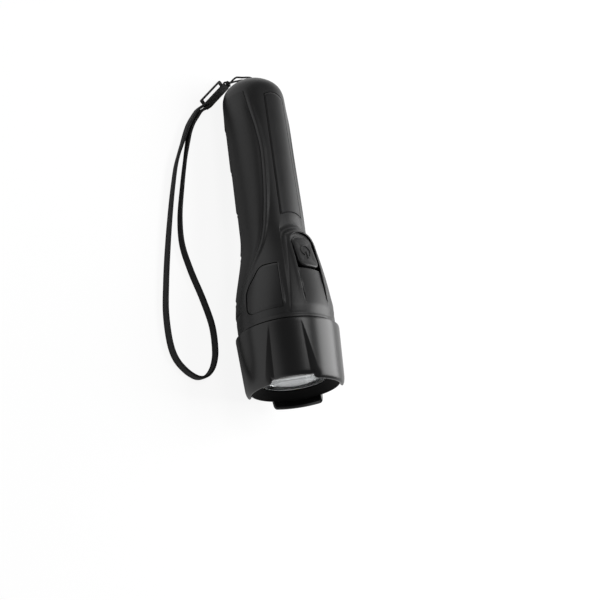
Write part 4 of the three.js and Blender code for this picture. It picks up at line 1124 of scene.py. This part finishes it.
def lug_solid(middle):
    """A lug carries the barrel's skin on past the bezel, up to a crest, and rounds over to the mouth."""
    start = BEZEL - RIM_ROUND[0] - 0.4
    columns = [0.0, 0.004, 0.01, 0.02, 0.035, *steps(0.055, 0.945, 44), 0.965, 0.98, 0.99, 0.996, 1.0]

    def crest(angle):
        end = clamp((LUG_HALF - abs(angle - middle)) / (2 * LUG_HALF * LUG_END))
        return BEZEL + LUGS[middle] * (1 - LUG_SINK * quarter(1 - end))

    def place(column, row):
        angle = mix(middle - LUG_HALF, middle + LUG_HALF, column)
        return mix(start, crest(angle), row), angle

    def outer(station, angle, column, row):
        skin = head_skin(min(station, BEZEL), angle) - 0.01
        return mix(skin, LUG_TOP, quarter(clamp((row - 0.12) / 0.88)))

    def inner(station, angle):
        if station < BEZEL - 0.6:
            return LUG_TOP - 1.0
        rise = clamp((station - crest(angle)) / LUG_ROUND + 1)
        return mix(MOUTH + 0.15, LUG_TOP, quarter(rise))

    return curved_slab(columns, [0.0, 0.06, *[0.12 + 0.88 * share for share in ARC]], place, outer, inner)


def matt_inside(bm):
    """Marks the faces inside the bezel for the second material."""
    for face in bm.faces:
        middle = face.calc_center_median()
        if middle.y > LIP_STATION and hypot(middle.x, middle.z) < MOUTH + MOUTH_EDGE + 0.02:
            face.material_index = 1
    return bm


def head_piece(name, bm, node_name=None):
    piece = finish_mesh(name, matt_inside(bm), HEAD_ABS, node_name, body="head")
    piece.data.materials.append(CONE_ABS)


def head_pieces():
    head_piece("head_barrel", head_solid(), "head_shell")
    for i, middle in enumerate(LUGS, 1):
        head_piece(f"bezel_lug_{i}", lug_solid(middle))
    start, end, front = LENS
    profile = [(0, start), (LENS_RADIUS, start), (LENS_RADIUS, end)]
    profile += [(LENS_STEP, end), (LENS_STEP, front), (0, front)]
    bm = lathe(rounded(profile, 0.12, (1, 2, 4)), 128)
    finish_mesh("clear_lens", bm, LENS_CLEAR, "lens", body="head")


head_pieces()


# Reflector bowl, with the parabola of the CAD and fine facets
THROAT = 3.6
BOWL_MOUTH = 18.9
BOWL_START = 167.3
BOWL_END = 184.4
BOWL_WALL = 1.3
BOWL_FLANGE = 1.4
CUP_GAP = (0.06, 0.33)
CUP_LENGTH = 2.3
BOWL_BEND = 1.7


def reflector_piece():
    length = BOWL_END - BOWL_START
    focal = (BOWL_MOUTH**2 - THROAT**2) / (4 * length)
    vertex = BOWL_START - THROAT**2 / (4 * focal)

    def bowl(station):
        return sqrt(4 * focal * (station - vertex))

    def wall(end, count, thickness):
        stations = [mix(BOWL_START, end, share**BOWL_BEND) for share in steps(0, 1, count)]
        return [(bowl(station) + thickness, station) for station in stations]

    back = BOWL_END - BOWL_FLANGE
    inner, outer = [LENS_RADIUS + gap for gap in CUP_GAP]
    cup = [(outer, back), (outer, BOWL_END + CUP_LENGTH), (inner, BOWL_END + CUP_LENGTH), (inner, BOWL_END)]
    profile = wall(BOWL_END, 28, 0.0)[::-1] + wall(back, 14, BOWL_WALL) + cup
    bm = lathe(profile, 40)
    finish_mesh("reflector_bowl", bm, METALLISED, "reflector", body="light_engine", sharp=7.0)


reflector_piece()

# What the CAD's own solids show of their finish
for material, names in (
    (SOFT_RUBBER, ["button_seal", "head_o_ring"]),
    (INNER_ABS, ["switch_housing", "pedestal", "retainer_ring"]),
    (WHITE_ACETAL, ["switch_plunger"]),
    (WHITE_BOARD, ["led_board"]),
    (WHITE_SILICONE, ["lens_gasket"]),
    (PHOSPHOR, ["led_emitter"]),
    (CELL_JACKET, ["cell_1", "cell_2"]),
    (SPRING_STEEL, ["tail_spring", "board_screw_1", "board_screw_2"]),
    (BRASS, ["tail_contact", "return_strip", "front_contact"]),
    (ALUMINIUM, ["heat_sink"]),
):
    for name in names:
        finishes = frame["nodes"][name].data.materials
        finishes.clear()
        finishes.append(material)


# Floor, world and lamps: SKY is the light that the world gives; the others are what is seen of it
FLOOR_HALF = 3.0
SKY = 0.12
CEILING = 0.2
THROUGH = 0.72
HAZE = (0.06, 0.5)
FLOOR_GLOW = 0.9
# Reach, in metres, of the painted contact shadow in the floor's glow
CONTACT = 0.07


def seen_rays(tree):
    """Light path, and 1 for rays of the camera and those that it sends by gloss or through glass."""
    path = node(tree, "LightPath")
    seen = node(tree, "Math", [(0, path, "Is Camera Ray"), (1, path, "Is Glossy Ray")], operation="MAXIMUM")
    seen = node(tree, "Math", [(0, seen, "Value"), (1, path, "Is Transmission Ray")], operation="MAXIMUM")
    return path, seen


def floor_material():
    """Pale floor, white to the camera and in reflections; in reflections its glow carries a painted contact
    shadow, darkened by ambient occlusion near what lies on it.
    """
    material, tree, _ = new_material("pale_floor")
    tree.nodes.clear()
    path, seen = seen_rays(tree)
    matt = node(tree, "BsdfDiffuse", Color=linear("#6e6e6e"))
    # Painted contact shadow: ambient occlusion, squared, darkens the floor's glow near what lies on it, for
    # glossy rays only
    near = node(tree, "AmbientOcclusion", Distance=CONTACT, samples=8)
    near = node(tree, "Math", [(0, near, "AO"), (1, near, "AO")], operation="MULTIPLY")
    links = [("Factor", path, "Is Glossy Ray"), (2, 1.0), (3, near, "Value")]
    shaded = node(tree, "Mix", links, data_type="FLOAT")
    level = node(tree, "Math", [(0, shaded, "Result"), (1, FLOOR_GLOW)], operation="MULTIPLY")
    glow = node(tree, "Emission", [("Strength", level, "Value")])
    shown = node(tree, "MixShader", [(0, seen, "Value"), (2, glow, "Emission")])
    both = node(tree, "AddShader", [(0, matt, "BSDF"), (1, shown, "Shader")])
    node(tree, "OutputMaterial", [("Surface", both, "Shader")])
    return material


def add_floor():
    bm = bmesh.new()
    bmesh.ops.create_grid(bm, x_segments=4, y_segments=4, size=FLOOR_HALF)
    holder = mesh_object("floor", bm)
    holder.data.materials.append(floor_material())
    holder.location.z = -0.0002


def add_lamp(name, place, aim, size, power):
    lamp = bpy.data.lights.new(name, "AREA")
    lamp.shape = "RECTANGLE"
    lamp.size, lamp.size_y = size
    lamp.energy = power
    turned = (Vector(aim) - Vector(place)).to_track_quat("-Z", "Y").to_matrix().to_4x4()
    add_object(name, lamp).matrix_world = Matrix.Translation(place) @ turned


def add_world():
    """White walls under a dark ceiling, seen alike by the camera and in gloss, that give little light."""
    world = bpy.data.worlds.new("studio")
    bpy.context.scene.world = world
    world.use_nodes = True
    tree = world.node_tree
    path, seen = seen_rays(tree)
    place = node(tree, "TexCoord")
    axes = node(tree, "SeparateXYZ", [("Vector", place, "Generated")])
    band = {"From_Min": HAZE[0], "From_Max": HAZE[1], "To_Min": 1.0, "To_Max": CEILING}
    walls = node(tree, "MapRange", [("Value", axes, "Z")], interpolation_type="SMOOTHSTEP", **band)
    links = [("Factor", seen, "Value"), (2, SKY), (3, walls, "Result")]
    shown = node(tree, "Mix", links, data_type="FLOAT")
    through = node(tree, "Math", [(0, path, "Is Transmission Ray"), (1, THROUGH)], operation="MULTIPLY")
    strength = node(tree, "Math", [(0, shown, "Result"), (1, through, "Value")], operation="MAXIMUM")
    background = tree.nodes["Background"]
    background.inputs["Color"].default_value = (1, 1, 1, 1)
    tree.links.new(strength.outputs["Value"], background.inputs["Strength"])


add_floor()
add_world()
add_lamp("key", (0.62, 0.06, 0.56), (0, -0.03, 0.03), (0.55, 0.75), 7.0)
add_lamp("top", (-0.1, 0.25, 0.9), (0, 0, 0.02), (0.3, 0.3), 1.2)

bpy.context.scene.view_settings.view_transform = "Standard"
